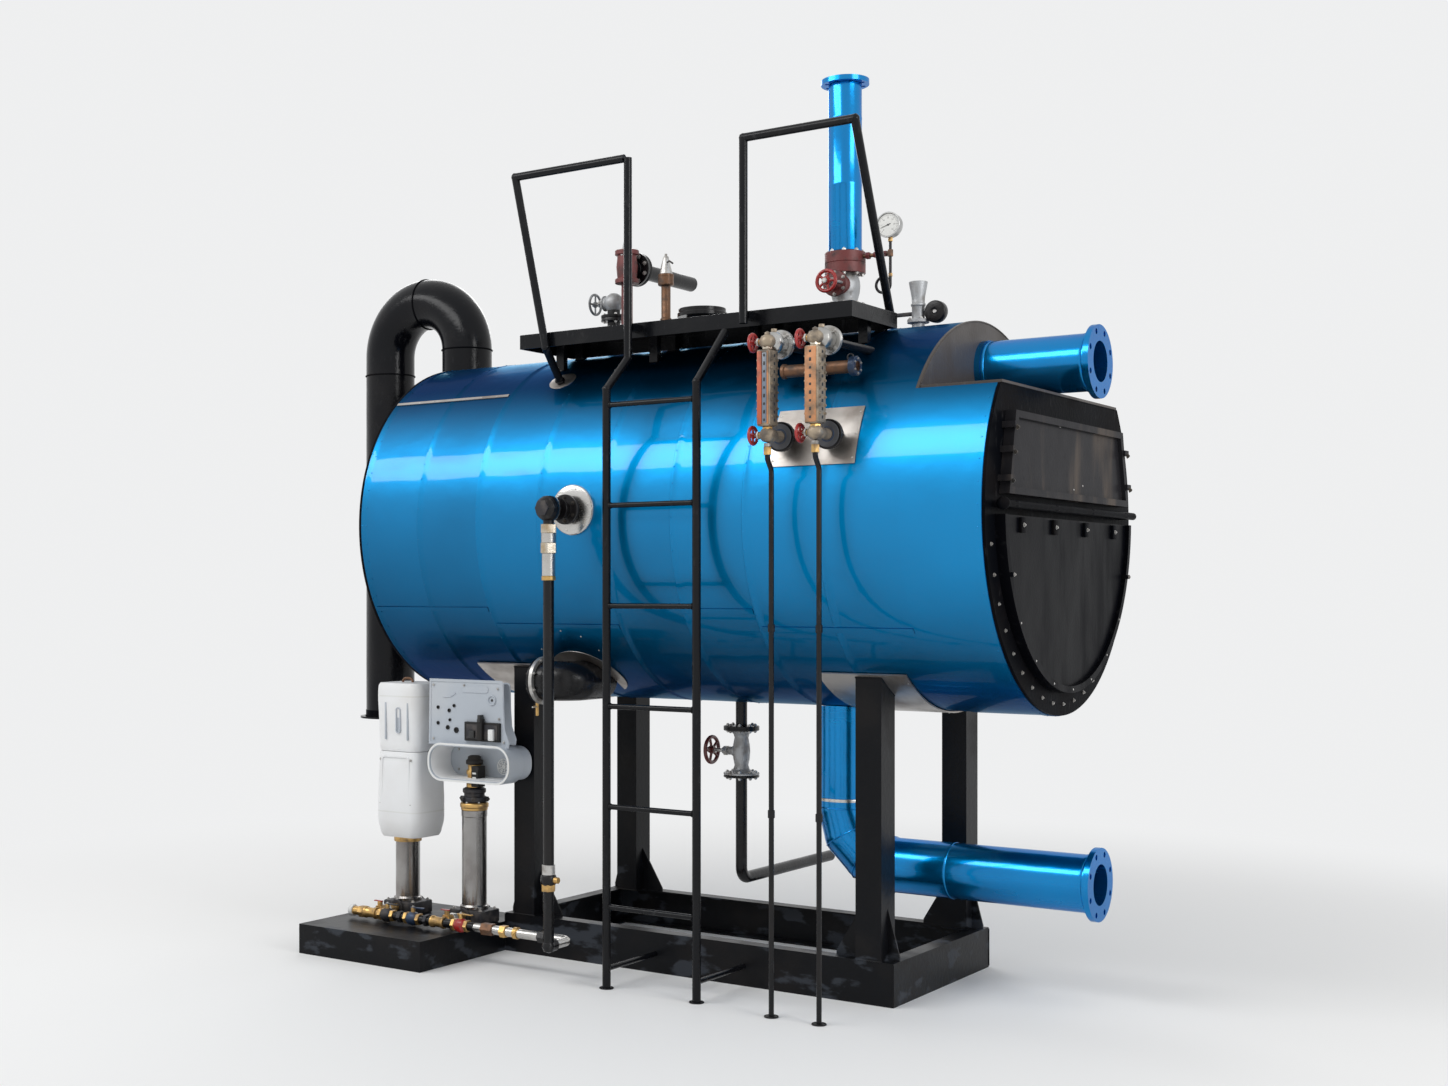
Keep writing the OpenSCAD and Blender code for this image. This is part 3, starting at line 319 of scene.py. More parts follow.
def weld_growth():
    """Rippled weld bead along the edges of a mesh."""
    tree = Growth("weld", Radius="Float", Ripple="Float")
    line = tree.node("GeometryNodeMeshToCurve", inputs={0: tree.inputs["Geometry"]})
    steps = {"Curve": line, "Length": tree.inputs["Ripple"]}
    path = tree.node("GeometryNodeResampleCurve", {"mode": "LENGTH"}, steps)
    swell = 0.8 + 0.4 * (tree.node("GeometryNodeInputIndex") * 0.5).fract()
    section = tree.circle(7, tree.inputs["Radius"])
    tree.end(tree.swept(path, section, **{"Scale": swell, "Fill Caps": True}))
    return tree


def tread_growth():
    """Raised lozenge of a tread plate, long along its way."""
    tree = Growth("tread")
    ball = tree.node("GeometryNodeMeshUVSphere", inputs={"Segments": 6, "Rings": 4, "Radius": 1.0})
    flat = {"Geometry": ball, "Scale": (1, 0.36, 0.2)}
    return placed(tree, tree.node("GeometryNodeTransform", inputs=flat), "X")


PIPES = pipe_growth()
BOLTS = bolt_growth()
RIVETS = rivet_growth()
WHEELS = wheel_growth()
FLANGES = flange_growth()
WELDS = weld_growth()
TREAD = tread_growth()


# Mesh making

def turn_to(axis):
    """Rotation that lays the Z axis along a direction."""
    return Vector(axis).to_track_quat("Z", "Y").to_matrix().to_4x4()


def seat(place, axis):
    return Matrix.Translation(place) @ turn_to(axis)


def plain(shape):
    mesh = bpy.data.meshes.new("part")
    shape.to_mesh(mesh)
    shape.free()
    return mesh


def softened(profile, cut):
    """Profile whose corners are broken by a small chamfer."""
    points = [Vector(p) for p in profile]
    out = [points[0]]
    for before, corner, after in zip(points, points[1:], points[2:]):
        back, on = before - corner, after - corner
        if back.angle(on) > math.radians(150):
            out.append(corner)
            continue
        step = min(cut, back.length * 0.4, on.length * 0.4)
        out += [corner + back.normalized() * step, corner + on.normalized() * step]
    return out + [points[-1]]


def skinned(rings, loop=False, ends=False):
    """Skin over rings of places, each ring closed."""
    shape = bmesh.new()
    rows = [[shape.verts.new(spot) for spot in ring] for ring in rings]
    for low, high in zip(rows, rows[1:] + (rows[:1] if loop else [])):
        for i, corner in enumerate(low):
            j = (i + 1) % len(low)
            shape.faces.new([corner, low[j], high[j], high[i]])
    if ends:
        shape.faces.new(rows[0][::-1])
        shape.faces.new(rows[-1])
    bmesh.ops.recalc_face_normals(shape, faces=shape.faces[:])
    return plain(shape)


def turned(profile, place, axis=Z, sides=40, cut=0.0015):
    """Turned body from (radius, height) points; a profile that ends where it starts is a ring."""
    shape = bmesh.new()
    closed = tuple(profile[0]) == tuple(profile[-1])
    rings = []
    for radius, height in softened(profile, cut)[: -1 if closed else None]:
        if radius < 1e-5:
            rings.append([shape.verts.new((0, 0, height))])
            continue
        angles = [2 * math.pi * i / sides for i in range(sides)]
        rings.append([shape.verts.new((radius * math.cos(t), radius * math.sin(t), height)) for t in angles])
    for low, high in zip(rings, rings[1:] + (rings[:1] if closed else [])):
        for i in range(sides):
            j = i + 1
            quad = [low[i % len(low)], low[j % len(low)], high[j % len(high)], high[i % len(high)]]
            corners = list(dict.fromkeys(quad))
            if len(corners) > 2:
                shape.faces.new(corners)
    bmesh.ops.recalc_face_normals(shape, faces=shape.faces[:])
    shape.transform(seat(place, axis))
    return plain(shape)


def disc(place, axis, radius, length, sides=40, cut=0.0015):
    """Plain turned disc or bar."""
    return turned([(0, 0), (radius, 0), (radius, length), (0, length)], place, axis, sides, cut)


def block(low, high, cut=0.002):
    """Box between two corners with broken edges."""
    shape = bmesh.new()
    bmesh.ops.create_cube(shape, size=1)
    low, high = Vector(low), Vector(high)
    bmesh.ops.scale(shape, vec=high - low, verts=shape.verts)
    bmesh.ops.translate(shape, vec=(low + high) / 2, verts=shape.verts)
    edges = shape.edges[:]
    bmesh.ops.bevel(shape, geom=edges, offset=cut, segments=2, profile=0.5, affect="EDGES")
    return plain(shape)


def rounded(width, height, radius, steps=6):
    """Outline of a rectangle with round corners, centred."""
    points = []
    for corner, (sx, sy) in enumerate([(1, 1), (-1, 1), (-1, -1), (1, -1)]):
        for step in range(steps + 1):
            turn = math.pi / 2 * (corner + step / steps)
            x = sx * (width / 2 - radius) + radius * math.cos(turn)
            points.append((x, sy * (height / 2 - radius) + radius * math.sin(turn)))
    return points


def lofted(sections, matrix, ends=True):
    """Skin over outlines of equal count, each an (outline, height) pair."""
    rings = [[(x, y, height) for x, y in outline] for outline, height in sections]
    mesh = skinned(rings, ends=ends)
    mesh.transform(matrix)
    return mesh


def slab(outline, thickness, matrix, cut=0.0015):
    """Flat plate cut to an outline, with broken edges."""
    small = [(x * (1 - cut / 0.1), y * (1 - cut / 0.1)) for x, y in outline]
    return lofted([(small, 0), (outline, cut), (outline, thickness - cut), (small, thickness)], matrix)


def upright(place):
    """Matrix of a drawing that stands at a place, seen from the ladder side."""
    turn = Matrix((X, Z, -Y)).transposed().to_4x4()
    return Matrix.Translation(place) @ turn


def line_mesh(points, closed=False):
    """Edges from point to point, and back to the first where it is closed."""
    mesh = bpy.data.meshes.new("line")
    count = len(points)
    edges = [(i, (i + 1) % count) for i in range(count if closed else count - 1)]
    mesh.from_pydata([tuple(p) for p in points], edges, [])
    return mesh


def point_mesh(points):
    """Points with the way each faces and its size."""
    mesh = bpy.data.meshes.new("points")
    mesh.from_pydata([tuple(place) for place, _, _ in points], [], [])
    mesh.attributes.new("way", "FLOAT_VECTOR", "POINT")
    mesh.attributes.new("size", "FLOAT", "POINT")
    ways = [value for _, way, _ in points for value in way]
    mesh.attributes["way"].data.foreach_set("vector", ways)
    mesh.attributes["size"].data.foreach_set("value", [size for _, _, size in points])
    return mesh


def ring_points(place, axis, radius, count, size, start=0.5, way=None):
    """Seats on a circle about an axis, all facing along it."""
    matrix = seat(place, axis)
    spots = [matrix @ Vector((*polar(radius, 360 * (i + start) / count), 0)) for i in range(count)]
    return [(spot, way or axis, size) for spot in spots]


def hoop(place, axis, radius, count=40):
    """Points round a circle about an axis."""
    return [spot for spot, _, _ in ring_points(place, axis, radius, count, 1)]


SHARP = math.radians(34)


class Piece:
    """One piece of the boiler, gathered from parts with their own finishes."""

    def __init__(self, name, finish, nodes=(), body="root"):
        self.name = name
        self.finish = finish
        self.nodes = nodes
        self.body = body
        self.parts = bmesh.new()
        self.finishes = [finish]

    def add(self, mesh, finish=None):
        finish = finish or self.finish
        if finish not in self.finishes:
            self.finishes.append(finish)
        index = self.finishes.index(finish)
        for polygon in mesh.polygons:
            polygon.material_index = index
        self.parts.from_mesh(mesh)
        bpy.data.meshes.remove(mesh)

    def turned(self, profile, place, axis=Z, finish=None, sides=40, cut=0.0015):
        self.add(turned(profile, place, axis, sides, cut), finish)

    def disc(self, place, axis, radius, length, finish=None, sides=40):
        self.add(disc(place, axis, radius, length, sides), finish)

    def block(self, low, high, finish=None, cut=0.002):
        self.add(block(low, high, cut), finish)

    def blocks(self, origin, *rows):
        """Blocks from rows: two corners in millimetres from an origin, a finish and a cut."""
        for *corners, finish, cut in rows:
            low, high = Vector(corners[:3]) / 1000, Vector(corners[3:]) / 1000
            self.block(origin + low, origin + high, finish, cut / 1000)

    def loft(self, rows, steps, matrix, finish, ring=False):
        """Skin over round-cornered outlines: rows of width, height, corner and level in millimetres."""
        sections = [(rounded(w / 1000, h / 1000, r / 1000, steps), z / 1000) for w, h, r, z in rows]
        self.add(lofted(sections + sections[:ring], matrix, not ring), finish)

    def pipe(self, points, radius, finish=None, bend=0.0, sides=20):
        finish = finish or self.finish
        mesh = PIPES.run(line_mesh(points), finish, Radius=radius, Bend=float(bend), Sides=sides)
        self.add(mesh, finish)

    def weld(self, points, radius, closed=False, finish=None):
        finish = finish or self.finish
        mesh = WELDS.run(line_mesh(points, closed), finish, Radius=radius, Ripple=radius * 1.2)
        self.add(mesh, finish)

    def bolts(self, points, finish="bolt_steel"):
        self.add(BOLTS.run(point_mesh(points), finish), finish)

    def rivets(self, points, finish="bolt_steel"):
        self.add(RIVETS.run(point_mesh(points), finish), finish)

    def flange(self, place, axis, outer, bore, thickness, circle, holes, hole, finish=None):
        finish = finish or self.finish
        sizes = {"Outer": outer, "Bore": bore, "Circle": circle, "Hole": hole}
        empty = bpy.data.meshes.new("empty")
        mesh = FLANGES.run(empty, finish, Holes=holes, Thickness=thickness, **sizes)
        mesh.transform(seat(place, axis))
        self.add(mesh, finish)

    def bolted(self, place, axis, circle, count, size, gap=0.0, finish="bolt_steel"):
        """Ring of bolts, and where a gap is given, as many the other way that far behind."""
        points = ring_points(place, axis, circle, count, size)
        if gap:
            points += ring_points(Vector(place) - axis * gap, axis, circle, count, size, way=-axis)
        self.bolts(points, finish)

    def done(self):
        """Write the mesh, hand it to its body and hide the nodes it stands for."""
        for edge in self.parts.edges:
            edge.smooth = len(edge.link_faces) != 2 or edge.calc_face_angle(0) < SHARP
        for face in self.parts.faces:
            face.smooth = True
        mesh = bpy.data.meshes.new(self.name)
        self.parts.to_mesh(mesh)
        self.parts.free()
        for finish in self.finishes:
            mesh.materials.append(FINISH[finish])
        piece = bpy.data.objects.new(self.name, mesh)
        bpy.context.scene.collection.objects.link(piece)
        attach(piece, self.body)
        if self.nodes:
            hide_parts(*self.nodes)


# Finishes

class Paint(Tree):
    """A material with a Principled shader at its end."""

    def __init__(self, name, colour, roughness, metallic=0.0, coat=0.0, coat_roughness=0.08):
        self.material = bpy.data.materials.new(name)
        self.material.use_nodes = True
        super().__init__(self.material.node_tree)
        self.shader = self.tree.nodes["Principled BSDF"]
        self.put("Base Color", (*colour, 1.0))
        self.put("Roughness", roughness)
        self.put("Metallic", metallic)
        self.put("Coat Weight", coat)
        self.put("Coat Roughness", coat_roughness)
        self.material.diffuse_color = (*colour, 1.0)

    def put(self, name, value):
        self.feed(self.shader.inputs[name], value)

    def place(self):
        return self.node("ShaderNodeTexCoord", out=3)

    def axis(self, index):
        return self.node("ShaderNodeSeparateXYZ", inputs={0: self.place()}, out=index)

    def noise(self, per_metre, detail=3.0, stretch=(1, 1, 1)):
        spot = self.node("ShaderNodeMapping", inputs={"Vector": self.place(), "Scale": stretch})
        inputs = {"Vector": spot, "Scale": per_metre, "Detail": detail}
        return self.node("ShaderNodeTexNoise", inputs=inputs)

    def mix(self, factor, low, high):
        low = low if isinstance(low, Wire) else (*low, 1.0)
        high = high if isinstance(high, Wire) else (*high, 1.0)
        settings = {"data_type": "RGBA"}
        return self.node("ShaderNodeMix", settings, {0: factor, 6: low, 7: high}, out=2)

    def bump(self, height, depth, strength=1.0):
        inputs = {"Height": height, "Distance": depth, "Strength": strength}
        self.put("Normal", self.node("ShaderNodeBump", inputs=inputs))


def clad_sheet(name, deep, bright, drum=False):
    """Glossy blue coated sheet with soft dents; on the drum a tone for each sheet, painted shade towards its
    top and bottom and painted light towards its front end.
    """
    paint = Paint(name, bright, 0.3, metallic=0.92, coat=0.5, coat_roughness=0.05)
    paint.put("Specular Tint", (0.0, 0.42, 0.68, 1.0))
    cloud = paint.noise(2.2, 2.0)
    smear = paint.noise(9.0, 4.0, (0.3, 1, 1)).ramp(0.55, 0.75)
    tone_and_painted_shade = 0.45 + 0.6 * cloud
    gloss = 0.2 + 0.06 * cloud
    if drum:
        seed = paint.node("ShaderNodeTexWhiteNoise", {"noise_dimensions": "1D"},
                          {"W": ((paint.axis(0) - REAR) / SHEET).floor()})
        height = paint.axis(2)
        along = (paint.axis(0) - REAR) / (FRONT - REAR)
        # Painted shade: the drum's colour darkens towards the bottom and the top, and is brightest a little
        # above the axis.
        low = (height + 0.3 * along).ramp(LOW - 0.05, AXIS_Z + 0.3)
        high = 1 - (height + 0.1 * along).ramp(AXIS_Z + 0.36, TOP - 0.14)
        # A random tone for each sheet, plus painted light that makes the drum lighter towards its front end.
        sheet = 0.55 + 0.35 * cloud + 0.14 * seed + 0.2 * along
        tone_and_painted_shade = sheet * (0.08 + 0.92 * low) * (0.16 + 0.84 * high)
        gloss = 0.34 + 0.06 * cloud
        # The coat follows the same heights: a painted sheen, weightiest a little above the axis and faint at
        # the top and the bottom.
        paint.put("Coat Weight", 0.04 + 0.5 * low * high)
    paint.put("Base Color", paint.mix(tone_and_painted_shade, deep, bright))
    paint.put("Roughness", gloss + 0.1 * smear)
    paint.bump(paint.noise(12.0, 2.0), 0.0012)
    return paint.material


def black_paint(name, colour, roughness, scuff=0.5, share=0.4, sheen=0.32, marks=(38.0, 0.6, 0.74),
                way=(1, 1, 0.35), grey=(0.12, 0.12, 0.125), reach=None):
    """Black paint with a brown haze and grey scuffs, up to a height where one is given."""
    paint = Paint(name, colour, roughness)
    paint.put("Specular IOR Level", sheen)
    cloud = paint.noise(5.0, 5.0).ramp(0.42, 0.72)
    size, low, high = marks
    scratches = paint.noise(size, 6.0, way).ramp(low, high)
    if reach:
        scratches = scratches * (1 - paint.axis(2).ramp(reach, reach + 0.1))
    worn = paint.mix(cloud * share, colour, (0.05, 0.038, 0.03))
    paint.put("Base Color", paint.mix(scratches * scuff, worn, grey))
    paint.put("Roughness", roughness + 0.14 * cloud + 0.1 * scratches)
    paint.bump(paint.noise(60.0, 4.0) + 0.4 * scratches, 0.0008)
    return paint.material


def door_paint():
    """Dark door sheets: warm streaks above the bar, partly wiped marks and partly painted sheen; below it a
    deep black that is painted shade, with grey dust.
    """
    paint = Paint("door_sheet", (0.03, 0.027, 0.027), 0.36)
    paint.put("Specular IOR Level", 0.03)
    # Split by height: painted shade below the bar, and painted sheen in the warm streaks above it.
    upper = paint.axis(2).ramp(1.87, 1.95)
    streaks_and_sheen = paint.noise(7.0, 5.0, (1, 1, 0.22)).ramp(0.44, 0.68)
    dust = paint.noise(26.0, 6.0).ramp(0.56, 0.8)
    warm = paint.mix(streaks_and_sheen, (0.018, 0.0175, 0.02), (0.085, 0.07, 0.06))
    # Painted shade: the near black of the lower door, with grey dust on it.
    deep = paint.mix(dust, (0.0024, 0.0026, 0.004), (0.011, 0.011, 0.012))
    paint.put("Base Color", paint.mix(upper, deep, warm))
    paint.put("Roughness", 0.3 + 0.16 * streaks_and_sheen + 0.1 * dust)
    paint.bump(paint.noise(3.2, 2.0) + 0.05 * paint.noise(70.0, 3.0), 0.006)
    return paint.material


def steel_sheet(name, colour, stain, roughness=0.3, grain_way=(1, 12, 12)):
    """Bare stainless sheet with brown stains and a fine brushed grain."""
    paint = Paint(name, colour, roughness, metallic=0.95)
    cloud = paint.noise(6.0, 4.0).ramp(0.35, 0.75)
    grain = paint.noise(25.0, 2.0, grain_way)
    paint.put("Base Color", paint.mix(cloud, colour, stain))
    paint.put("Roughness", roughness + 0.12 * cloud + 0.08 * grain)
    paint.bump(grain, 0.0004)
    return paint.material


def cast_metal(name, colour, dirt, roughness=0.5, metallic=0.6, grain=0.0008, grime=0.4):
    """Rough cast body with dirt in its hollows."""
    paint = Paint(name, colour, roughness, metallic=metallic)
    cloud = paint.noise(22.0, 5.0).ramp(0.62 - grime / 2, 0.92 - grime / 2)
    paint.put("Base Color", paint.mix(cloud, colour, dirt))
    paint.put("Roughness", roughness + 0.2 * cloud)
    paint.put("Metallic", metallic * (1 - 0.6 * cloud))
    paint.bump(paint.noise(140.0, 3.0) + 0.6 * cloud, grain)
    return paint.material


def wheel_paint(name, colour, chip=(0.10, 0.045, 0.035)):
    """Handwheel paint with small chips."""
    paint = Paint(name, colour, 0.34, coat=0.25)
    chips = paint.noise(120.0, 3.0).ramp(0.62, 0.68)
    paint.put("Base Color", paint.mix(chips, colour, chip))
    paint.put("Roughness", 0.3 + 0.3 * chips)
    paint.bump(1 - chips, 0.0004)
    return paint.material


def moulding(name, colour, dust, roughness=0.4):
    """Moulded cover with a fine leather grain and a film of dust."""
    paint = Paint(name, colour, roughness)
    film = paint.noise(4.0, 4.0).ramp(0.4, 0.75)
    paint.put("Base Color", paint.mix(film * 0.6, colour, dust))
    paint.put("Roughness", roughness + 0.2 * film)
    paint.bump(paint.noise(420.0, 2.0), 0.0003)
    return paint.material


FINISH = {
    # The cladding's deep blue is the colour of the drum's painted shade at its top and bottom.
    "cladding": clad_sheet("blue_cladding", (0.0, 0.009, 0.028), (0.0, 0.245, 0.56), drum=True),
    "duct_cladding": clad_sheet("blue_duct_cladding", (0.0, 0.06, 0.22), (0.0, 0.29, 0.70)),
    "skid_paint": black_paint("skid_black", (0.0045, 0.005, 0.0065), 0.34, 0.65, share=0.12, sheen=0.15,
                              marks=(10.0, 0.55, 0.63), way=(0.55, 0.7, 1.3),
                              grey=(0.05, 0.057, 0.07), reach=0.24),
    "rail_paint": black_paint("rail_black", (0.004, 0.0045, 0.006), 0.2, 0.1, share=0.05, sheen=0.22),
    "pipe_black": black_paint("pipe_black", (0.004, 0.004, 0.005), 0.24, 0.12, share=0.1),
    "smokebox_black": black_paint("smokebox_black", (0.003, 0.0035, 0.005), 0.36, 0.12, 0.1, 0.01),
    "flue_black": black_paint("flue_black", (0.002, 0.0024, 0.004), 0.17, 0.05, share=0.05, sheen=0.2),
    "grey_plate": black_paint("plate_grey_brown", (0.068, 0.058, 0.052), 0.4, 0.4, sheen=0.3),
    "door_sheet": door_paint(),
    "dark_rubber": black_paint("dark_rubber", (0.006, 0.006, 0.006), 0.5, 0.1),
    "stainless_plate": steel_sheet("stained_stainless", (0.50, 0.47, 0.44), (0.25, 0.215, 0.19)),
    "bright_steel": steel_sheet("bright_steel", (0.60, 0.59, 0.57), (0.44, 0.42, 0.39), 0.16),
    "column_steel": steel_sheet("column_steel", (0.34, 0.33, 0.32), (0.22, 0.2, 0.19), 0.12, (14, 14, 0.6)),
    "bolt_steel": cast_metal("bolt_zinc", (0.55, 0.54, 0.52), (0.25, 0.23, 0.21), 0.35, 0.85, 0.0003),
    "bolt_dark": cast_metal("bolt_dark", (0.03, 0.028, 0.026), (0.08, 0.065, 0.05), 0.4, 0.5, 0.0003),
    "nickel": cast_metal("worn_nickel", (0.60, 0.54, 0.45), (0.36, 0.27, 0.16), 0.26, 0.95, 0.0003),
    "valve_grey": cast_metal("galvanised_cast", (0.42, 0.43, 0.44), (0.24, 0.225, 0.21)),
    "valve_dark": cast_metal("dark_cast", (0.035, 0.035, 0.04), (0.08, 0.07, 0.065)),
    "valve_bronze": cast_metal("brown_bronze", (0.17, 0.085, 0.045), (0.06, 0.04, 0.03), 0.4),
    "valve_red": cast_metal("dull_red_cast", (0.15, 0.03, 0.028), (0.05, 0.026, 0.025), 0.45, 0.1),
    "wheel_red": wheel_paint("wheel_red", (0.34, 0.016, 0.014)),
    "wheel_dull": wheel_paint("wheel_dull_red", (0.115, 0.022, 0.02)),
    "wheel_grey": cast_metal("wheel_grey", (0.30, 0.31, 0.32), (0.12, 0.12, 0.12)),
    "gauge_brown": cast_metal("gauge_bronze", (0.36, 0.29, 0.21), (0.12, 0.10, 0.08), 0.42, 0.4, 0.0014, 0.5),
    "gauge_rust": cast_metal("gauge_rust", (0.56, 0.25, 0.11), (0.28, 0.17, 0.10), 0.5, 0.15, 0.0012, 0.5),
    "bright_cast": steel_sheet("bright_cast", (0.54, 0.54, 0.53), (0.36, 0.35, 0.33), 0.2, (2, 2, 2)),
    "slate_disc": cast_metal("slate_disc", (0.085, 0.09, 0.10), (0.05, 0.05, 0.055), 0.4, 0.3, 0.0003),
    "gauge_orange": cast_metal("gauge_orange", (0.50, 0.11, 0.05), (0.25, 0.09, 0.06), 0.45, 0.1),
    "gauge_glass": moulding("gauge_glass", (0.16, 0.2, 0.26), (0.24, 0.26, 0.28), 0.12),
    "gauge_case": cast_metal("gauge_case", (0.5, 0.5, 0.49), (0.3, 0.3, 0.29), 0.3, 0.8, 0.0003),
    "ring_blue": cast_metal("dark_blue_ring", (0.03, 0.055, 0.11), (0.05, 0.05, 0.06), 0.35, 0.4),
    "dial_white": moulding("dial_white", (0.78, 0.78, 0.75), (0.7, 0.69, 0.65), 0.3),
    "dial_black": moulding("dial_black", (0.02, 0.02, 0.02), (0.05, 0.05, 0.05), 0.35),
    "pipe_brass": cast_metal("fitting_brass", (0.62, 0.39, 0.14), (0.24, 0.15, 0.07), 0.3, 0.9, 0.0004),
    "pump_grey": moulding("cover_grey", (0.42, 0.46, 0.51), (0.52, 0.54, 0.56)),
    "cover_white": moulding("cover_white", (0.80, 0.81, 0.82), (0.68, 0.67, 0.65)),
    "rim_white": moulding("rim_white", (0.74, 0.75, 0.74), (0.62, 0.6, 0.56)),
}


# Drum and its cladding

def dent(x, degrees):
    """Soft unevenness of a wrapped sheet."""
    spot = Vector((x * 3.1, *polar(2.2, degrees)))
    return 0.0011 * noise.noise(spot) + 0.0005 * noise.noise(spot * 2.7 + Vector((5, 1, 3)))


def wrapped_sheet(start, stop, sides=200, rows=12):
    """Round sheet with a lapped edge at its rear, closed at the back."""
    run = stop - start
    section = mm(0.6, -3.5, 0.9, 0, 12, 0, 14.5, -1.4)
    section += [(0.0145 + (run - 0.0151) * i / rows, -0.0014) for i in range(1, rows + 1)]
    rings = []
    for offset, drop in section + [(run - 0.0005, -0.018), (0.0006, -0.018)]:
        ring = []
        for i in range(sides):
            turn = 360 * i / sides
            wave = dent(start + offset, turn) if drop > -0.01 else 0
            ring.append(on_drum(start + offset, turn, DRUM_R - 0.0012 + drop + wave))
        rings.append(ring)
    return skinned(rings, loop=True)


def skin_points(stations, turns, size, radius=DRUM_R):
    """Seats on the drum's skin at stations along it and turns round it, in degrees."""
    return [(on_drum(x, turn, radius), Vector((0, *polar(1, turn))), size)
            for x in stations for turn in turns]


def band(start, stop, low, high, radius, sides=48):
    """Curved strip on the drum's skin between two turns, in degrees."""
    corners = ((start, radius), (stop, radius), (stop, radius - 0.004), (start, radius - 0.004))
    turns = [low + (high - low) * i / sides for i in range(sides + 1)]
    return skinned([[on_drum(x, turn, r) for x, r in corners] for turn in turns], ends=True)


def patch(x, turn, half_x, half_turn, radius, sides=40):
    """Oval plate on the drum's skin about a point along it and a turn round it."""
    rings = []
    for share, lift in ((0.001, 0.0018), (0.55, 0.0018), (0.97, 0.0018), (1.0, 0.0010), (1.0, -0.003)):
        oval = [polar(share, 360 * i / sides) for i in range(sides)]
        rings.append([on_drum(x + half_x * u, turn + half_turn * v, radius + lift) for u, v in oval])
    return skinned(rings, ends=True)


def drum_cladding():
    """Four cladding courses, each of two lapped sheets with riveted seams."""
    for course in range(4):
        piece = Piece(f"cladding_{course + 1}", "cladding", [f"casing_course_{course + 1}"])
        start = REAR + course * COURSE
        for edge in (start, start + SHEET):
            piece.add(wrapped_sheet(edge, edge + SHEET))
            piece.rivets(skin_points([edge + 0.007], range(0, 360, 5), 0.0032, DRUM_R - 0.001), "cladding")
        low = 214 if course % 2 else 208
        piece.add(band(start + 0.015, start + COURSE - 0.002, low, low + 1.6, DRUM_R + 0.0006))
        piece.done()


def cladding_strips():
    """Grey lap strip high on the rear sheets, and the rim band at the smokebox end."""
    piece = Piece("cladding_strips", "cladding")
    strip = DRUM_R + 0.0018
    piece.add(band(REAR + 0.006, REAR + COURSE - 0.004, 132.6, 133.8, strip), "stainless_plate")
    rivets = [REAR + 0.05 + 0.09 * i for i in range(7)]
    piece.rivets(skin_points(rivets, [133.2], 0.003, strip))
    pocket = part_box("pocket_plates")[0][2]
    edge = math.degrees(math.asin((pocket - 0.014 - AXIS_Z) / DRUM_R))
    rim = DRUM_R + 0.0025
    piece.add(band(FRONT - 0.03, FRONT - 0.001, 180 - edge, 360 + edge, rim, 160))
    turns = range(int(184 - edge), int(358 + edge), 6)
    piece.rivets(skin_points([FRONT - 0.015], turns, 0.003, rim), "cladding")
    piece.rivets(skin_points([REAR + 0.03], range(0, 360, 6), 0.003, DRUM_R - 0.001), "cladding")
    piece.done()


def saddle_rivets():
    """Rivets along the edges of the saddle plates."""
    piece = Piece("saddle_rivets", "stainless_plate")
    low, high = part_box("saddle_plates")
    edges = (low[0] + 0.012, low[0] + 0.368, high[0] - 0.368, high[0] - 0.012)
    piece.rivets(skin_points(edges, range(236, 305, 6), 0.0035, DRUM_R + 0.0062))
    piece.done()


def plate_fixings():
    """Screws of the bare metal plates and the oval plate at the handrail's foot."""
    piece = Piece("plate_fixings", "stainless_plate")
    plate = DRUM_R + 0.0035
    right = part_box("flashing_plates")[1][0] - 0.012
    left = right - 0.336
    piece.rivets(skin_points([left, right - 0.168, right], (151, 165), 0.0036, plate))
    piece.rivets(skin_points([left, right], (158,), 0.0036, plate))
    for i in range(10):
        across, round_it = polar(1, 36 * (i + 0.5))
        piece.rivets(skin_points([-0.52 + 0.158 * across], [227.8 + 11.4 * round_it], 0.0036, plate))
    piece.add(patch(-0.625, 126.9, 0.062, 4.6, DRUM_R))
    foot = (-0.6215, -0.4945, 2.522)
    piece.weld(hoop(foot, (-0.12, 0.64, -0.76), 0.0195, 24), 0.0035, True, "rail_paint")
    piece.done()


def frame_welds():
    """Weld beads at the feet and heads of the legs, and at the corners of the skid."""
    piece = Piece("frame_welds", "skid_paint")
    saddle = DRUM_R + 0.0075
    rail_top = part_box("base_long_rails")[1][2] + 0.001
    for side_x in (-1, 1):
        for side_y in (-1, 1):
            x, y = side_x * LEG_X, side_y * LEG_Y
            leg = oblong((x - LEG_DEEP, y - LEG_WIDE), (x + LEG_DEEP, y + LEG_WIDE))
            piece.weld([(a, b, rail_top) for a, b in leg], 0.004, True)
            piece.weld([(a, b, 2 * AXIS_Z - crest(b, saddle)) for a, b in leg], 0.004, True)
            piece.weld([(side_x * 0.9405, side_y * 0.4705, z) for z in (0.006, 0.164)], 0.003)
    low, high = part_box("pump_frame")
    inset = 0.0042
    corners = oblong((low[0] + inset, low[1] + inset), (high[0] - inset, high[1] - inset))
    for x, y in corners:
        piece.weld([(x, y, 0.006), (x, y, high[2] - 0.004)], 0.003)
    piece.weld([(x, y, high[2] - 0.008) for x, y in corners], 0.0032, True)
    piece.done()


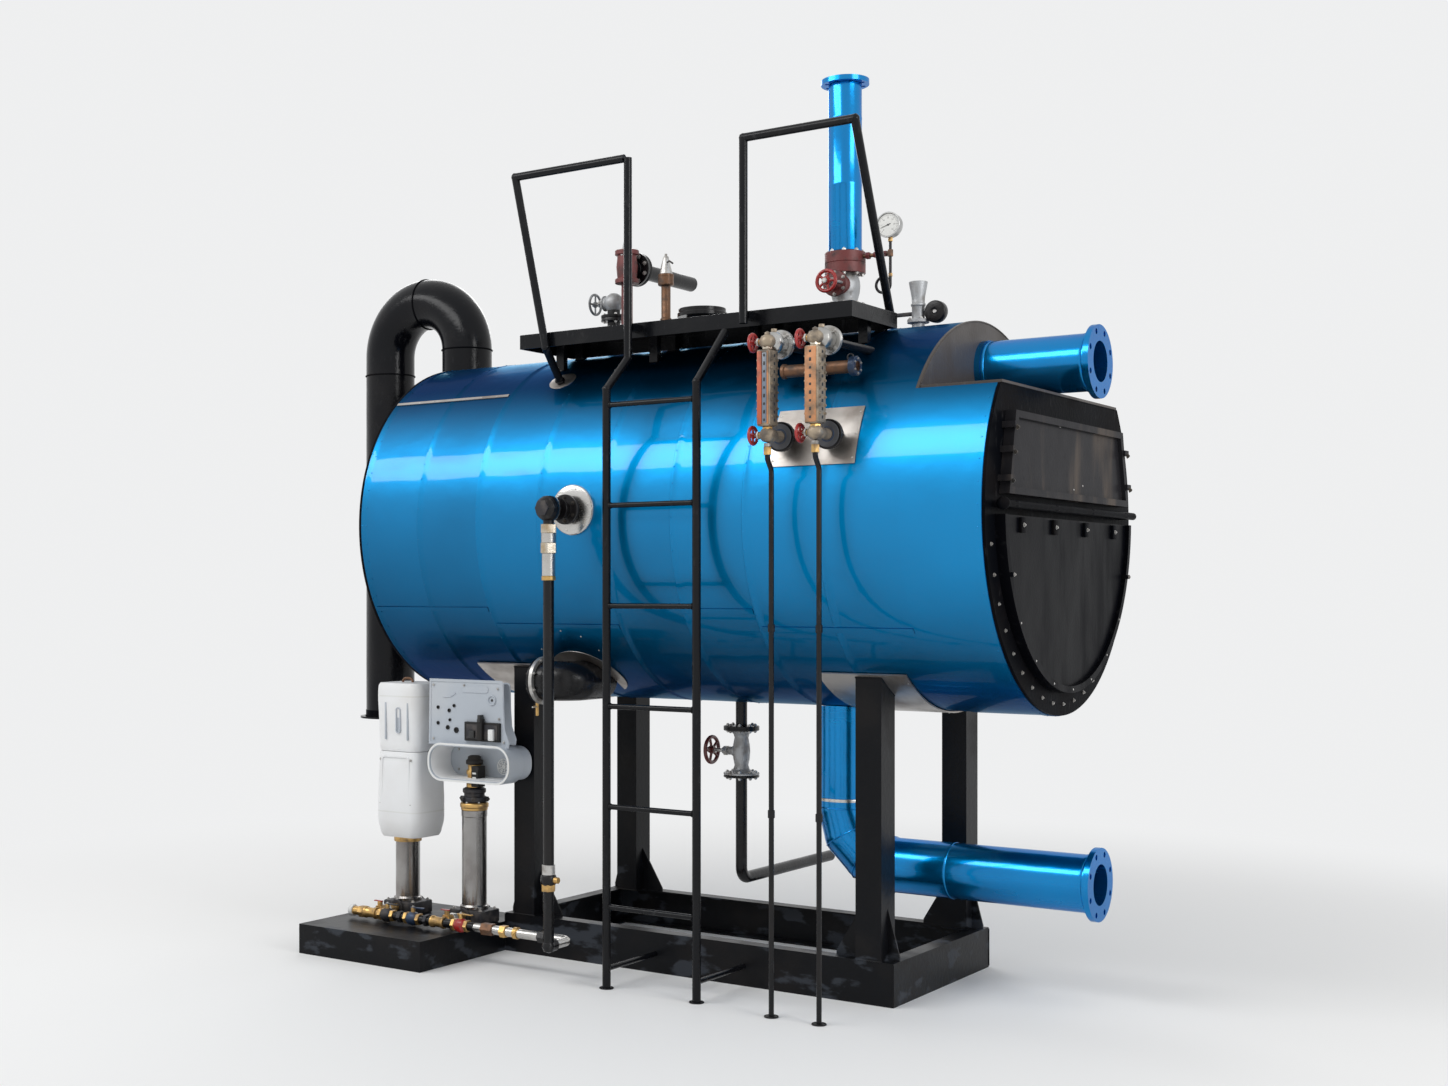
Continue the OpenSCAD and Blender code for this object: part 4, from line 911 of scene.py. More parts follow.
def deck_tread():
    """Raised lozenges of the platform's tread plate, and the beads of its stubs."""
    piece = Piece("deck_tread", "rail_paint")
    low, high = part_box("platform")
    top = 2.716
    points = []
    for i in range(50):
        for j in range(11):
            spot = (low[0] + 0.045 + 0.0305 * i, -0.56 + 0.032 * j, top - 0.0004)
            way = Vector((1, 1 if (i + j) % 2 else -1, 0)).normalized()
            points.append((spot, way, 0.0085))
    piece.add(TREAD.run(point_mesh(points), "rail_paint"))
    edge = oblong((low[0] + 0.003, -0.597), (high[0] - 0.003, -0.203))
    piece.weld([(x, y, top) for x, y in edge], 0.0024, True)
    for i in range(4):
        x = -0.7 + i * 0.49
        for y in (-0.37, -0.225):
            stub = oblong((x - 0.02, y - 0.015), (x + 0.02, y + 0.015))
            piece.weld([(a, b, crest(b) + 0.001) for a, b in stub], 0.0035, True)
    piece.done()


def rail_joints():
    """Collars where the rungs meet the stiles, and beads at the handrails' bends."""
    piece = Piece("rail_joints", "rail_paint")
    left, right = STILES_X
    for rung in range(6):
        z = RUNG_LOW + RUNG_STEP * rung
        piece.disc((left + 0.0165, LADDER_Y, z), X, 0.0138, 0.005, sides=20)
        piece.disc((right - 0.0165, LADDER_Y, z), -X, 0.0138, 0.005, sides=20)
    bends = [((-0.724, -0.68, 3.385), (1, 0, 0.3)), ((0.40, -0.68, 3.385), (1, 0, 1)),
             ((0.882, -0.68, 3.385), (1, 0, -0.3)), ((-0.605, -0.622, 2.65), (0.1, 0.3, -1))]
    bends += [((x, LADDER_Y, 2.42), Z) for x in STILES_X]
    for place, way in bends:
        piece.weld(hoop(place, way, 0.0172, 24), 0.0022, True)
    for x in STILES_X:
        piece.disc((x, LADDER_Y, 0.0), Z, 0.03, 0.005, sides=28)
    for x in (-0.144, 0.40):
        for z in (2.679, 2.703):
            piece.weld([(x - 0.012, -0.6015, z), (x + 0.012, -0.6015, z)], 0.0022)
    piece.done()


# Smokebox end

def smokebox_fixings():
    """Bolts round the lower door, on the clips of the upper door and on the bar's lugs."""
    piece = Piece("smokebox_fixings", "smokebox_black")
    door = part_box("smoke_doors")[1][0] - 0.001
    piece.bolts([(on_drum(FACE, -10 - 160 * i / 18, 0.735), X, 0.0055) for i in range(19)])
    for side, heights in ((-1, (0.045, 0.150, 0.240)), (1, (0.07, 0.21))):
        piece.bolts([((door, side * (0.655 - 0.065 * height / 0.3), AXIS_Z + 0.055 + height), X, 0.008)
                     for height in heights], "bolt_dark")
    for y in (-0.60, -0.2, 0.2, 0.60):
        piece.block((FACE, y - 0.02, AXIS_Z + 0.008), (FACE + 0.054, y + 0.02, AXIS_Z + 0.028))
    lower_door_fittings(piece)
    sheet_edges(piece)
    piece.done()


def lower_door_fittings(piece):
    """Clips at the lower door's edges and the small studs on its face."""
    sheet = FACE + 0.0235
    top = AXIS_Z - 0.02
    for y in (-0.5, -0.17, 0.17, 0.5):
        piece.block((sheet, y - 0.022, top - 0.062), (sheet + 0.012, y + 0.022, top - 0.006))
        piece.bolts([((sheet + 0.012, y, top - 0.034), X, 0.006)])
    for y in (-0.63, 0.63):
        piece.block((sheet, y - 0.016, 1.655), (sheet + 0.0265, y + 0.016, 1.672))
        piece.bolts([((sheet + 0.026, y, 1.6635), X, 0.0055)])
    piece.rivets([(on_drum(sheet + 0.016, -20 - 17.5 * i, 0.677), X, 0.0045) for i in range(9)])
    studs = ((-0.52, 2.215), (-0.1, 2.235), (0.05, 2.0), (0.15, 2.02))
    piece.rivets([((sheet + 0.0005, y, z), X, 0.004) for y, z in studs])


def sheet_edges(piece):
    """Weld beads at the pocket's folded edges and round the door frames."""
    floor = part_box("front_end_plate")[1][2]
    half = skin(floor) - 0.006
    piece.weld([(FACE - 0.001, -half, floor), (FACE - 0.001, half, floor)], 0.003)
    wall = POCKET_X + 0.0125
    arc = [on_drum(wall, 38 + 2.6 * i, DRUM_R - 0.004) for i in range(41)]
    piece.weld(arc, 0.003, finish="grey_plate")
    half = skin(floor + 0.012) - 0.012
    piece.weld([(wall, y, floor + 0.0125) for y in (-half, half)], 0.0035, finish="grey_plate")


def duct_seams():
    """Lap rings of the gas ducts, gore seams of the elbow and a seam along each duct."""
    piece = Piece("duct_seams", "duct_cladding")
    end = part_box("gas_ducts")[1][0]
    radius, bend = 0.1125, 0.225
    x, z, upper = 0.5, 0.475, 2.487
    for gore in range(4):
        across, along = polar(1, 30 * gore)
        place = (x + bend * (1 - across), 0, z + bend * (1 - along))
        ring = hoop(place, (along, 0, -across), radius + 0.0022, 56)
        piece.pipe(ring + ring[:1], 0.0024, sides=8)
    lap = mm(111.5, 0, 114.1, 0, 114.1, 12, 111.5, 14, 111.5, 0)
    for place in ((0.98, 0, z), (end - 0.05, 0, z), (end - 0.05, 0, upper), (POCKET_X + 0.037, 0, upper)):
        piece.turned(lap, place, X, sides=72, cut=0.0003)
    piece.turned(lap, (x, 0, 0.728), Z, "bright_steel", 72, 0.0003)
    side, rise = radius * 0.5, radius * 0.867
    for start, height in ((POCKET_X + 0.05, upper + rise), (0.74, z + rise)):
        piece.pipe([(start, side, height), (end - 0.03, side, height)], 0.002, sides=8)
    piece.pipe([(x - radius, 0.001, 0.74), (x - radius, 0.001, 1.12)], 0.002, sides=8)
    piece.rivets([((0.8 + 0.06 * i, side, z + rise + 0.001), (0, 0.5, 0.867), 0.0028) for i in range(12)])
    piece.done()


def flue_seams():
    """Weld beads of the flue's bend, its legs and the collar at its foot."""
    piece = Piece("flue_seams", "smokebox_black")
    y, centre, radius, bend = 0.2, 2.815, 0.125, 0.255
    inner, outer = -1.698, -2.208
    rings = [((inner, y, z), Z) for z in (2.406, 2.815)] + [((outer, y, z), Z) for z in (0.962, 1.75, 2.72)]
    for place, way in rings + [((inner - bend, y, centre + bend), X)]:
        piece.weld(hoop(place, way, radius + 0.001, 48), 0.0045, True)
    piece.weld([(outer, y + radius, 0.965), (outer, y + radius, 2.71)], 0.0035)
    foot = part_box("flue_bend")[0][2] + 0.012
    piece.turned(tube(radius, radius + 0.002, 0.03), (outer, y, foot), sides=56, cut=0.0005)
    piece.bolted((inner, y, 2.4045), Z, 0.141, 8, 0.0065, finish="bolt_dark")
    piece.done()


def rear_fixings():
    """Bolted frame of the hood, its inspection cover and the rim bolts of the rear plate."""
    piece = Piece("rear_fixings", "smokebox_black")
    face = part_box("rear_end_plate")[0][0]
    (back, y0, z0), (_, y1, z1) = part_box("rear_smoke_hood")
    width, lift = 0.03, 0.006
    strips = [(y0 - width, z0 - width, y1 + width, z0), (y0 - width, z1, y1 + width, z1 + width),
              (y0 - width, z0, y0, z1), (y1, z0, y1 + width, z1)]
    for ya, za, yb, zb in strips:
        piece.block((face - lift, ya, za), (face + 0.001, yb, zb), cut=0.0015)
    left, right, low, high = y0 - width / 2, y1 + width / 2, z0 - width / 2, z1 + width / 2
    seats = []
    for i in range(8):
        y, z = left + (right - left) * i / 7, low + (high - low) * i / 7
        seats += [(y, low), (y, high)]
        if 0 < i < 7:
            seats += [(left, z), (right, z)]
    piece.bolts([((face - lift, y, z), -X, 0.007) for y, z in seats], "bolt_dark")
    rim = [on_drum(face, 10 * i, 0.752) for i in range(36)]
    clear = [spot for spot in rim if spot.z < z0 - 0.05 or abs(spot.y - 0.124) > 0.45]
    piece.bolts([(spot, -X, 0.006) for spot in clear], "bolt_dark")
    hood_cover(piece, (back, (y0 + y1) / 2, z1 - 0.3))
    for y in (y0, y1):
        piece.weld([(back, y, z0 + 0.26), (back, y, z1)], 0.004)
    for z in (z1, z0 + 0.26):
        piece.weld([(back, y0, z), (back, y1, z)], 0.004)
    piece.done()


def hood_cover(piece, place):
    """Inspection cover of the hood with its frame, nuts and grip."""
    turn = Matrix((-Y, Z, -X)).transposed().to_4x4()
    matrix = Matrix.Translation(place) @ turn
    piece.add(slab(rounded(0.44, 0.34, 0.02, 5), 0.004, matrix))
    piece.add(slab(rounded(0.40, 0.30, 0.02, 5), 0.012, matrix), "door_sheet")
    corners = oblong((-0.18, -0.13), (0.18, 0.13))
    piece.bolts([(matrix @ Vector((*corner, 0.012)), -X, 0.0075) for corner in corners])
    grip = [matrix @ Vector((u, 0, height)) for u, height in mm(-60, 10, -60, 42, 60, 42, 60, 10)]
    piece.pipe(grip, 0.006, "rail_paint", bend=0.012, sides=14)


# Steam line

def gland(piece, place, axis, radius, length, stem, finish=None):
    """Gland with its nut, bored for the stem."""
    bore, waist = stem + 0.0012, radius * 0.8
    profile = [(bore, 0.004), (radius, 0.0), (radius, length * 0.45), (waist, length * 0.5),
               (waist, length), (bore, length), (bore, 0.004)]
    piece.turned(profile, place, axis, finish, 28)
    nut = tube(bore, radius * 1.25, length * 0.3)
    piece.turned(nut, place + axis * length * 0.55, axis, "bolt_steel", 6)


def stop_valve():
    """Globe valve of the steam line: body, flanges, bonnet and gland."""
    piece = Piece("main_stop_valve", "valve_grey", ["stop_valve"])
    centre = Vector((0.5, 0, 2.885))
    foot = (TOP - 0.01 - centre.z) * 1000
    body = mm(0, foot, 50, foot, 50, -112, 92, -110, 92, -82, 54, -78, 52, -60, 60, -30, 63, 0, 60, 25,
              52, 46, 52, 52, 0, 52)
    piece.turned(body, centre, cut=0.002)
    piece.disc(centre + Z * 0.05, Z, 0.085, 0.0445, "valve_red")
    piece.disc((0.5, 0, TOP + 0.06), Z, 0.088, 0.022)
    piece.bolted(centre - Z * 0.082, Z, 0.074, 8, 0.0095, 0.044)
    face = centre - Y * 0.04
    bonnet = mm(0, 0, 46, 0, 42, 20, 42, 44, 54, 45, 54, 58, 30, 60, 22, 75, 0, 75)
    piece.turned(bonnet, face, -Y, "valve_red")
    piece.bolted(face - Y * 0.058, -Y, 0.045, 6, 0.006)
    gland(piece, face - Y * 0.060, -Y, 0.017, 0.042, 0.008)
    for side in (-1, 1):
        yoke = [(0.5 + side * x, -y, centre.z) for x, y in mm(34, 96, 34, 130, 8, 138)]
        piece.pipe(yoke, 0.006, bend=0.015, sides=10)
    piece.done()


def handwheel(node, centre, axis, reach, rim, stem, stem_length, spokes, slot, paint=None):
    """Handwheel on its own body, with its stem, boss and nut."""
    centre = Vector(centre)
    piece = Piece(f"{node}_spoked", slot, [node], body=node)
    sizes = {"Radius": reach - rim, "Rim": rim, "Spoke": rim * 0.72, "Hub": stem * 1.9, "Depth": rim * 3}
    wheel = WHEELS.run(bpy.data.meshes.new("empty"), paint or slot, Spokes=spokes, **sizes)
    wheel.transform(seat(centre, axis))
    piece.add(wheel, paint)
    piece.disc(centre - axis * stem_length, axis, stem, stem_length + rim * 2.6, "bolt_steel", 20)
    piece.disc(centre + axis * rim * 1.5, axis, stem * 1.5, rim, "bolt_steel", 6)
    piece.done()


def handwheels():
    handwheel("stop_valve_wheel", (0.5, -0.172, 2.885), -Y, 0.05, 0.0078, 0.008, 0.05, 5, "wheel_red")
    handwheel("gate_valve_wheel", (-0.845, 0.1, 2.95), -X, 0.0525, 0.006, 0.006, 0.034, 4, "wheel_grey")
    seats = [(x, GAUGE_Y, z) for x in (0.568, 0.768) for z in (GAUGE_HIGH, GAUGE_LOW)]
    for number, place in enumerate(seats, 1):
        handwheel(f"gauge_wheel_{number}", place, -X, 0.038, 0.0063, 0.005, 0.03, 4, "wheel_red")
    handwheel("blowdown_wheel", (-0.15, 0, 0.905), -X, 0.065, 0.0085, 0.008, 0.088, 5,
              "wheel_red", "wheel_dull")


def steam_riser():
    """Clad riser with its red foot flange and drilled top flange."""
    piece = Piece("clad_steam_riser", "duct_cladding", ["steam_riser"])
    low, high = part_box("steam_riser")
    foot, tall = Vector((0.5, 0, low[2])), high[2] - low[2]
    piece.bolted(foot + Z * 0.045, Z, 0.07, 8, 0.009, 0.09)
    piece.turned(tube(0.05, 0.085, 0.045), foot, finish="valve_red")
    clad = mm(50, 45, 66, 46, 69.2, 50)
    for joint in (320, 600):
        clad += mm(69.2, joint, 70, joint + 3, 70, joint + 12, 69.2, joint + 15)
    clad += [(0.0692, tall - 0.021), (0.05, tall - 0.0205), clad[0]]
    piece.turned(clad, foot, sides=64, cut=0.0004)
    piece.flange((0.5, 0, high[2] - 0.02), Z, 0.1, 0.05, 0.02, 0.08, 8, 0.009)
    seam = [foot + Vector((-0.0495, -0.049, height)) for height in (0.06, tall - 0.03)]
    piece.pipe(seam, 0.0016, sides=8)
    piece.done()


def dial(piece, place):
    """White dial with ticks, numbers and a needle, facing the ladder side."""
    matrix = upright(place)
    case = mm(0, -20, 46, -20, 50, -14, 50, 14, 53, 20, 53, 26, 47, 26, 46, 21, 0, 21)
    piece.turned(case, place, -Y, "gauge_case", 56)
    piece.disc(place - Y * 0.0212, -Y, 0.0455, 0.0008, "dial_white", 56)
    for i in range(31):
        length, width = (0.009, 0.0011) if i % 5 == 0 else (0.005, 0.0006)
        tick = block((0.043 - length, -width / 2, 0.0219), (0.043, width / 2, 0.0224), 0.0001)
        tick.transform(matrix @ Matrix.Rotation(math.radians(225 - 9 * i), 4, "Z"))
        piece.add(tick, "dial_black")
    for i in range(7):
        spot = Matrix.Translation((*polar(0.028, 225 - 45 * i), 0.0219))
        piece.add(figure(str(i * 5), 0.0085, matrix @ spot), "dial_black")
    needle = mm(-1.5, -12, 1.5, -12, 0.9, 33, 0, 36, -0.9, 33)
    turn = matrix @ Matrix.Translation((0, 0, 0.0228)) @ Matrix.Rotation(1.9, 4, "Z")
    piece.add(slab(needle, 0.0008, turn, 0.0001), "dial_black")
    piece.disc(place - Y * 0.0222, -Y, 0.004, 0.002, "dial_black", 20)


def figure(text, height, matrix):
    """Flat numeral as a mesh."""
    curve = bpy.data.curves.new("figure", "FONT")
    curve.body = text
    curve.size = height
    curve.align_x = "CENTER"
    curve.align_y = "CENTER"
    curve.extrude = 0.0002
    curve.resolution_u = 3
    mesh = evaluated(bpy.data.objects.new("figure", curve))
    bpy.data.curves.remove(curve)
    mesh.transform(matrix)
    return mesh


def pressure_gauge():
    """Dial gauge on its stand pipe, with nuts on the feed pipe and a ring syphon."""
    piece = Piece("dial_gauge", "gauge_case", ["pressure_gauge"])
    x, feed, loop = 0.706, 3.0025, 2.874
    dial(piece, Vector((x, 0, 3.116)))
    piece.pipe([(0.5855, 0, feed), (x, 0, feed)], 0.0082, "valve_bronze")
    for start, radius in mm(598, 15.5, 632, 13, 675, 12.5):
        piece.disc((start, 0, feed), X, radius, 0.016, "valve_red", 6)
    piece.disc((x, 0, feed - 0.014), Z, 0.0125, 0.028, "valve_bronze", 6)
    piece.pipe([(x, 0, loop), (x, 0, 3.07)], 0.006, "pipe_black")
    piece.disc((x, 0, 3.05), Z, 0.0105, 0.018, "pipe_brass", 6)
    circle = [polar(0.032, 10 * i) for i in range(37)]
    piece.pipe([(x - 0.032 + a, 0, loop + b) for a, b in circle], 0.006, "pipe_black", sides=12)
    piece.disc((x, 0, 2.905), Z, 0.0095, 0.014, "pipe_brass", 6)
    piece.done()


def weight_safety_valve():
    """Lever safety valve: bell, lever, post and round weight."""
    piece = Piece("lever_safety_valve", "valve_dark", ["weight_safety_valve"])
    x, z, post = 0.83, TOP + 0.061, 0.63
    body = mm(0, -10, 26, -10, 26, 20, 45, 21, 45, 36, 26, 37, 26, 88, 30, 92, 30, 100, 26, 104, 27, 125,
              38, 186, 38, 190, 34, 190, 28, 160, 0, 158)
    piece.turned(body, (x, 0, TOP), finish="valve_grey")
    piece.bolted((x, 0, TOP + 0.036), Z, 0.036, 4, 0.006)
    piece.turned(mm(0, -10, 12, -10, 12, 50, 15, 52, 15, 70, 0, 70), (post, 0, TOP))
    piece.block((post - 0.03, -0.005, z - 0.008), (x + 0.094, 0.005, z + 0.008), cut=0.0015)
    for pin in (post, x):
        piece.disc((pin, -0.014, z), Y, 0.005, 0.028, "bolt_steel", 16)
    weight = mm(8, -20, 41, -20, 45, -16, 45, 16, 41, 20, 14, 20, 13, 17, 8, 17, 8, -20)
    piece.turned(weight, (x + 0.078, 0, z), -Y, "pipe_black", 48)
    piece.disc((x + 0.078, 0.021, z), -Y, 0.008, 0.0395, "bolt_steel", 20)
    piece.done()


def spring_safety_valve():
    """Spring safety valve with a silver cap."""
    piece = Piece("spring_safety_valve_body", "valve_bronze", ["spring_safety_valve"])
    foot = Vector((-0.39, 0, TOP))
    body = mm(0, -10, 21, -10, 21, 60, 55, 61, 55, 78, 21, 79, 21, 120, 26, 124, 26, 150, 21, 154, 21, 296,
              35, 300, 35, 350, 0, 350)
    piece.turned(body, foot)
    piece.bolted(foot + Z * 0.078, Z, 0.043, 6, 0.006)
    cap = mm(0, 349, 30, 350, 28, 360, 14, 420, 12, 430, 6, 432, 6, 443, 0, 443)
    piece.turned(cap, foot, finish="bolt_steel")
    for height in (0.305, 0.34):
        piece.turned(tube(0.0352, 0.0365, 0.004), foot + Z * height, cut=0.0005)
    lever = [foot + Vector(p) for p in ((0, 0, 0.4), (0.03, -0.02, 0.405), (0.055, -0.03, 0.39))]
    piece.pipe(lever, 0.004, "valve_dark", bend=0.01, sides=10)
    piece.done()


def vent_valve():
    """Dull red vent valve with a grey spindle cone and a pipe to the back."""
    piece = Piece("vent_valve_body", "valve_red", ["vent_valve"])
    centre = Vector((-0.6, 0, 3.085))
    foot = (TOP - centre.z) * 1000
    body = mm(0, foot - 10, 26, foot - 10, 26, foot + 60, 60, foot + 61, 60, foot + 78, 26, foot + 79,
              26, -77, 55, -75, 55, -55, 44, -52, 49, 0, 44, 52, 55, 55, 55, 75, 0, 75)
    piece.turned(body, centre)
    piece.turned(mm(0, 74, 22, 75, 20, 100, 13, 120, 12, 173, 0, 175), centre, finish="valve_grey")
    piece.bolted(centre + Z * 0.075, Z, 0.043, 6, 0.006, 0.02)
    piece.bolted((-0.6, 0, TOP + 0.078), Z, 0.045, 4, 0.007)
    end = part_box("vent_valve")[1][1] * 1000
    outlet = mm(0, 30, 35, 30, 35, 60, 76, 62, 76, 79, 74, 80, 76, 81, 76, 98, 35, 99, 35, end, 31, end,
                31, 300, 0, 300)
    piece.turned(outlet, centre, Y, "pipe_black", 48)
    piece.bolted(centre + Y * 0.062, -Y, 0.06, 8, 0.0075, 0.036)
    piece.done()


def gate_valve():
    """Grey gate valve on its pipe, with a black flange."""
    piece = Piece("gate_valve_body", "valve_grey", ["gate_valve"])
    x, y, z = -0.74, 0.1, 2.95
    base = (crest(y) - 0.01) * 1000
    stem = mm(0, base, 30, base, 30, 2859, 60, 2860, 60, 2874, 58.5, 2875, 60, 2876, 60, 2890, 30, 2891,
              30, 2915, 0, 2915)
    piece.turned(stem, (x, y, 0), finish="pipe_black")
    piece.bolted((x, y, 2.89), Z, 0.045, 4, 0.007, 0.03)
    ball = mm(0, -45, 26, -42, 34, -30, 43, -14, 45, 0, 43, 14, 34, 30, 20, 41, 0, 45)
    piece.turned(ball, (x, y, z))
    piece.turned(mm(0, 20, 34, 20, 30, 34, 30, 45, 36, 46, 36, 52, 0, 52), (x, y, z), -X)
    face = Vector((x - 0.052, y, z))
    piece.bolted(face, -X, 0.028, 6, 0.0045)
    gland(piece, face, -X, 0.015, 0.034, 0.006)
    piece.done()


def top_cover():
    """Bolted cover of the inspection opening."""
    piece = Piece("inspection_cover", "pipe_black", ["top_cover"])
    body = mm(0, -10, 70, -10, 70, 139, 110, 140, 110, 157, 107, 157.5, 107, 158.5, 105, 159, 105, 176,
              0, 176)
    piece.turned(body, (-0.2, 0, TOP), sides=56)
    piece.bolted((-0.2, 0, TOP + 0.1665), Z, 0.088, 8, 0.0085)
    piece.done()


# Water side

def gauge_column(piece, x, faded):
    """Body of a level gauge: face strips, scale marks, ports at the side and stud nuts."""
    corner = Vector((x, GAUGE_Y - 0.033, GAUGE_LOW + 0.032))
    piece.blocks(corner, (-28, 4, 0, 22, 66, 286, None, 3), (16, 3, 4, 28, 63, 282, None, 2))
    if faded:
        strip, half = -4, 4.5
        piece.blocks(corner, (-27, 0, 4, 19, 6, 282, "gauge_rust", 2))
    else:
        strip, half = 3.5, 3.5
        piece.blocks(corner, (-27, 0, 6, -8, 6, 280, "gauge_orange", 2),
                     (-6, 1.2, 12, 13, 6, 274, "gauge_glass", 2), (14, 0, 6, 20, 6, 280, "gauge_rust", 2))
    nuts = []
    for i in range(9):
        z = 22 + 30.25 * i
        tall = 6.5 if i % 2 else 4.5
        piece.blocks(corner, (strip - half, -0.8, z - tall, strip + half, 2, z + tall, "dial_black", 0.5),
                     (25, 30, z - 6, 28.8, 42, z + 6, "dial_black", 1))
        nuts += [(corner + Vector((27.5 * side, y, z + 14)) / 1000, X * side, 0.0055)
                 for y in (13, 55) for side in (1, -1) if i < 8]
    piece.bolts(nuts, "gauge_brown")


def gauge_cock(piece, place, up):
    """Cock of a level gauge: round body, gland, coupling nut and the arm's flange."""
    down = Z * -up
    ball = mm(0, -30, 14, -28, 24, -18, 30, 0, 24, 18, 14, 28, 0, 30)
    piece.turned(ball, place, X, sides=28)
    piece.turned(mm(0, 12, 16, 12, 16, 30, 14, 34, 0, 34), place, down, sides=24)
    piece.disc(place + down * 0.016, down, 0.021, 0.014, "pipe_brass" if up < 0 else "nickel", 6)
    gland(piece, place - X * 0.020, -X, 0.013, 0.026, 0.005, "pipe_brass")
    if up > 0:
        ring, nozzle, metal = 0.055, 0.017, "bright_cast"
        arm = mm(0, 12, 19, 14, 26, 22, 40, 30, 43, 45, 41, 62, 36, 70, 38, 95, 0, 95)
        piece.turned(arm, place, Y, metal)
        piece.disc(place + Vector((0, 0.05, 0.042)), Z, 0.012, 0.012, sides=6)
        piece.bolted(place + Y * 0.096, -Y, ring - 0.010, 4, 0.0055, 0.02)
    else:
        ring, nozzle, metal = 0.057, 0.028, "pipe_black"
        arm = mm(0, 12, 15, 14, 20, 26, 24, 30, 24, 40, 20, 44, 20, 95, 0, 95)
        piece.turned(arm, place, Y, sides=32)
        port = place + Y * 0.0965
        piece.disc(port, -Y, 0.049, 0.003, "slate_disc", 48)
        piece.turned(tube(0.024, 0.030, 0.0036), port, -Y, "ring_blue", 48)
    flange = [(0, 0.096), (ring, 0.096), (ring, 0.1055), (ring - 0.0015, 0.106), (ring, 0.1065),
              (ring, 0.116), (0, 0.116)]
    piece.turned(flange, place, Y, metal, 48)
    piece.disc(place + Y * 0.115, Y, nozzle, -0.103 - skin(place.z) - GAUGE_Y, "pipe_black")


def level_gauges():
    piece = Piece("level_gauge_pair", "gauge_brown", ["level_gauges"])
    for x in GAUGES_X:
        gauge_column(piece, x, x > 0.7)
        gauge_cock(piece, Vector((x, GAUGE_Y, GAUGE_HIGH)), 1)
        gauge_cock(piece, Vector((x, GAUGE_Y, GAUGE_LOW)), -1)
        piece.turned(mm(0, 25, 11, 26, 11, 34, 7, 36, 0, 40), (x, GAUGE_Y, GAUGE_HIGH), sides=20)
    piece.done()


def gauge_drains():
    """Black drain pipes with a brass cock below each gauge and a foot on the floor."""
    piece = Piece("gauge_drain_pipes", "pipe_black", ["gauge_drains"])
    y = GAUGE_Y + 0.03
    for x in GAUGES_X:
        path = [(x, y, 0.003), (x, y, GAUGE_LOW - 0.13), (x, GAUGE_Y, GAUGE_LOW - 0.09),
                (x, GAUGE_Y, GAUGE_LOW - 0.031)]
        piece.pipe(path, 0.01, bend=0.03)
        piece.disc((x, GAUGE_Y, GAUGE_LOW - 0.075), Z, 0.0165, 0.03, "pipe_brass", 6)
        piece.disc((x, GAUGE_Y, GAUGE_LOW - 0.045), Z, 0.013, 0.014, "bolt_steel", 20)
        piece.disc((x, y, 0), Z, 0.028, 0.006)
        for z in (0.75, 1.45):
            piece.disc((x, y, z), Z, 0.0135, 0.03, sides=20)
    piece.done()


def level_switch():
    """Bronze bar of the level switch with its end plates and lifting eye."""
    piece = Piece("level_switch_bar", "valve_bronze", ["level_switch"])
    low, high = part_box("level_switch")
    y, z = -0.623, 2.46
    bar = mm(0, 0, 30, 0, 30, 14, 25, 16, 25, 130, 29, 132, 29, 150, 25, 152, 25, 294, 0, 294)
    piece.turned(bar, (low[0], y, z), X)
    piece.turned(mm(0, 293, 38, 294, 38, 319, 30, 320, 0, 320), (low[0], y, z), X, "ring_blue")
    piece.disc((high[0] - 0.0012, y, z), X, 0.02, 0.0012)
    piece.bolted((high[0] - 0.002, y, z), X, 0.028, 6, 0.005)
    piece.disc((0.7, y, z), Y, 0.02, 0.015 - skin(z) - y, "pipe_black")
    piece.disc((0.7, y + 0.03, z), Y, 0.028, 0.015, "valve_grey", 6)
    ring = [polar(0.012, 22.5 * i) for i in range(17)]
    piece.pipe([(0.835 + a, y, z + 0.036 + b) for a, b in ring], 0.0035, "valve_dark", sides=10)
    piece.done()


def feed_check_valve(piece):
    """Check valve at the drum: rosette, flanges, cast body and hex plug."""
    wall = Vector((FEED.x, -DRUM_R, FEED.z))
    piece.turned(mm(0, 0, 105, 0, 105, 4, 100, 12, 50, 14.5, 0, 14.5), wall, -Y, "bright_steel", 64)
    piece.turned(tube(0.098, 0.104, 0.02), wall + Y * 0.012, -Y, "bright_steel", 64)
    piece.rivets(ring_points(wall - Y * 0.0122, -Y, 0.088, 6, 0.004, 0.25))
    neck = mm(0, 10, 28, 10, 28, 41, 62, 42, 62, 50, 60.5, 51, 62, 52, 62, 60, 34, 61, 36, 80, 48, 110,
              0, 110)
    piece.turned(neck, wall, -Y)
    piece.bolted(wall - Y * 0.06, -Y, 0.048, 6, 0.007, 0.018, "bolt_dark")
    body = mm(0, -52, 22, -50, 36, -40, 46, -25, 52, 0, 46, 25, 36, 40, 22, 50, 0, 52)
    piece.turned(body, FEED)
    piece.turned(mm(0, 0, 48, 0, 48, 26, 44, 30, 0, 30), FEED, -Y)
    piece.turned(mm(0, 29, 34, 30, 34, 51, 0, 52), FEED, -Y, "valve_dark", 6)


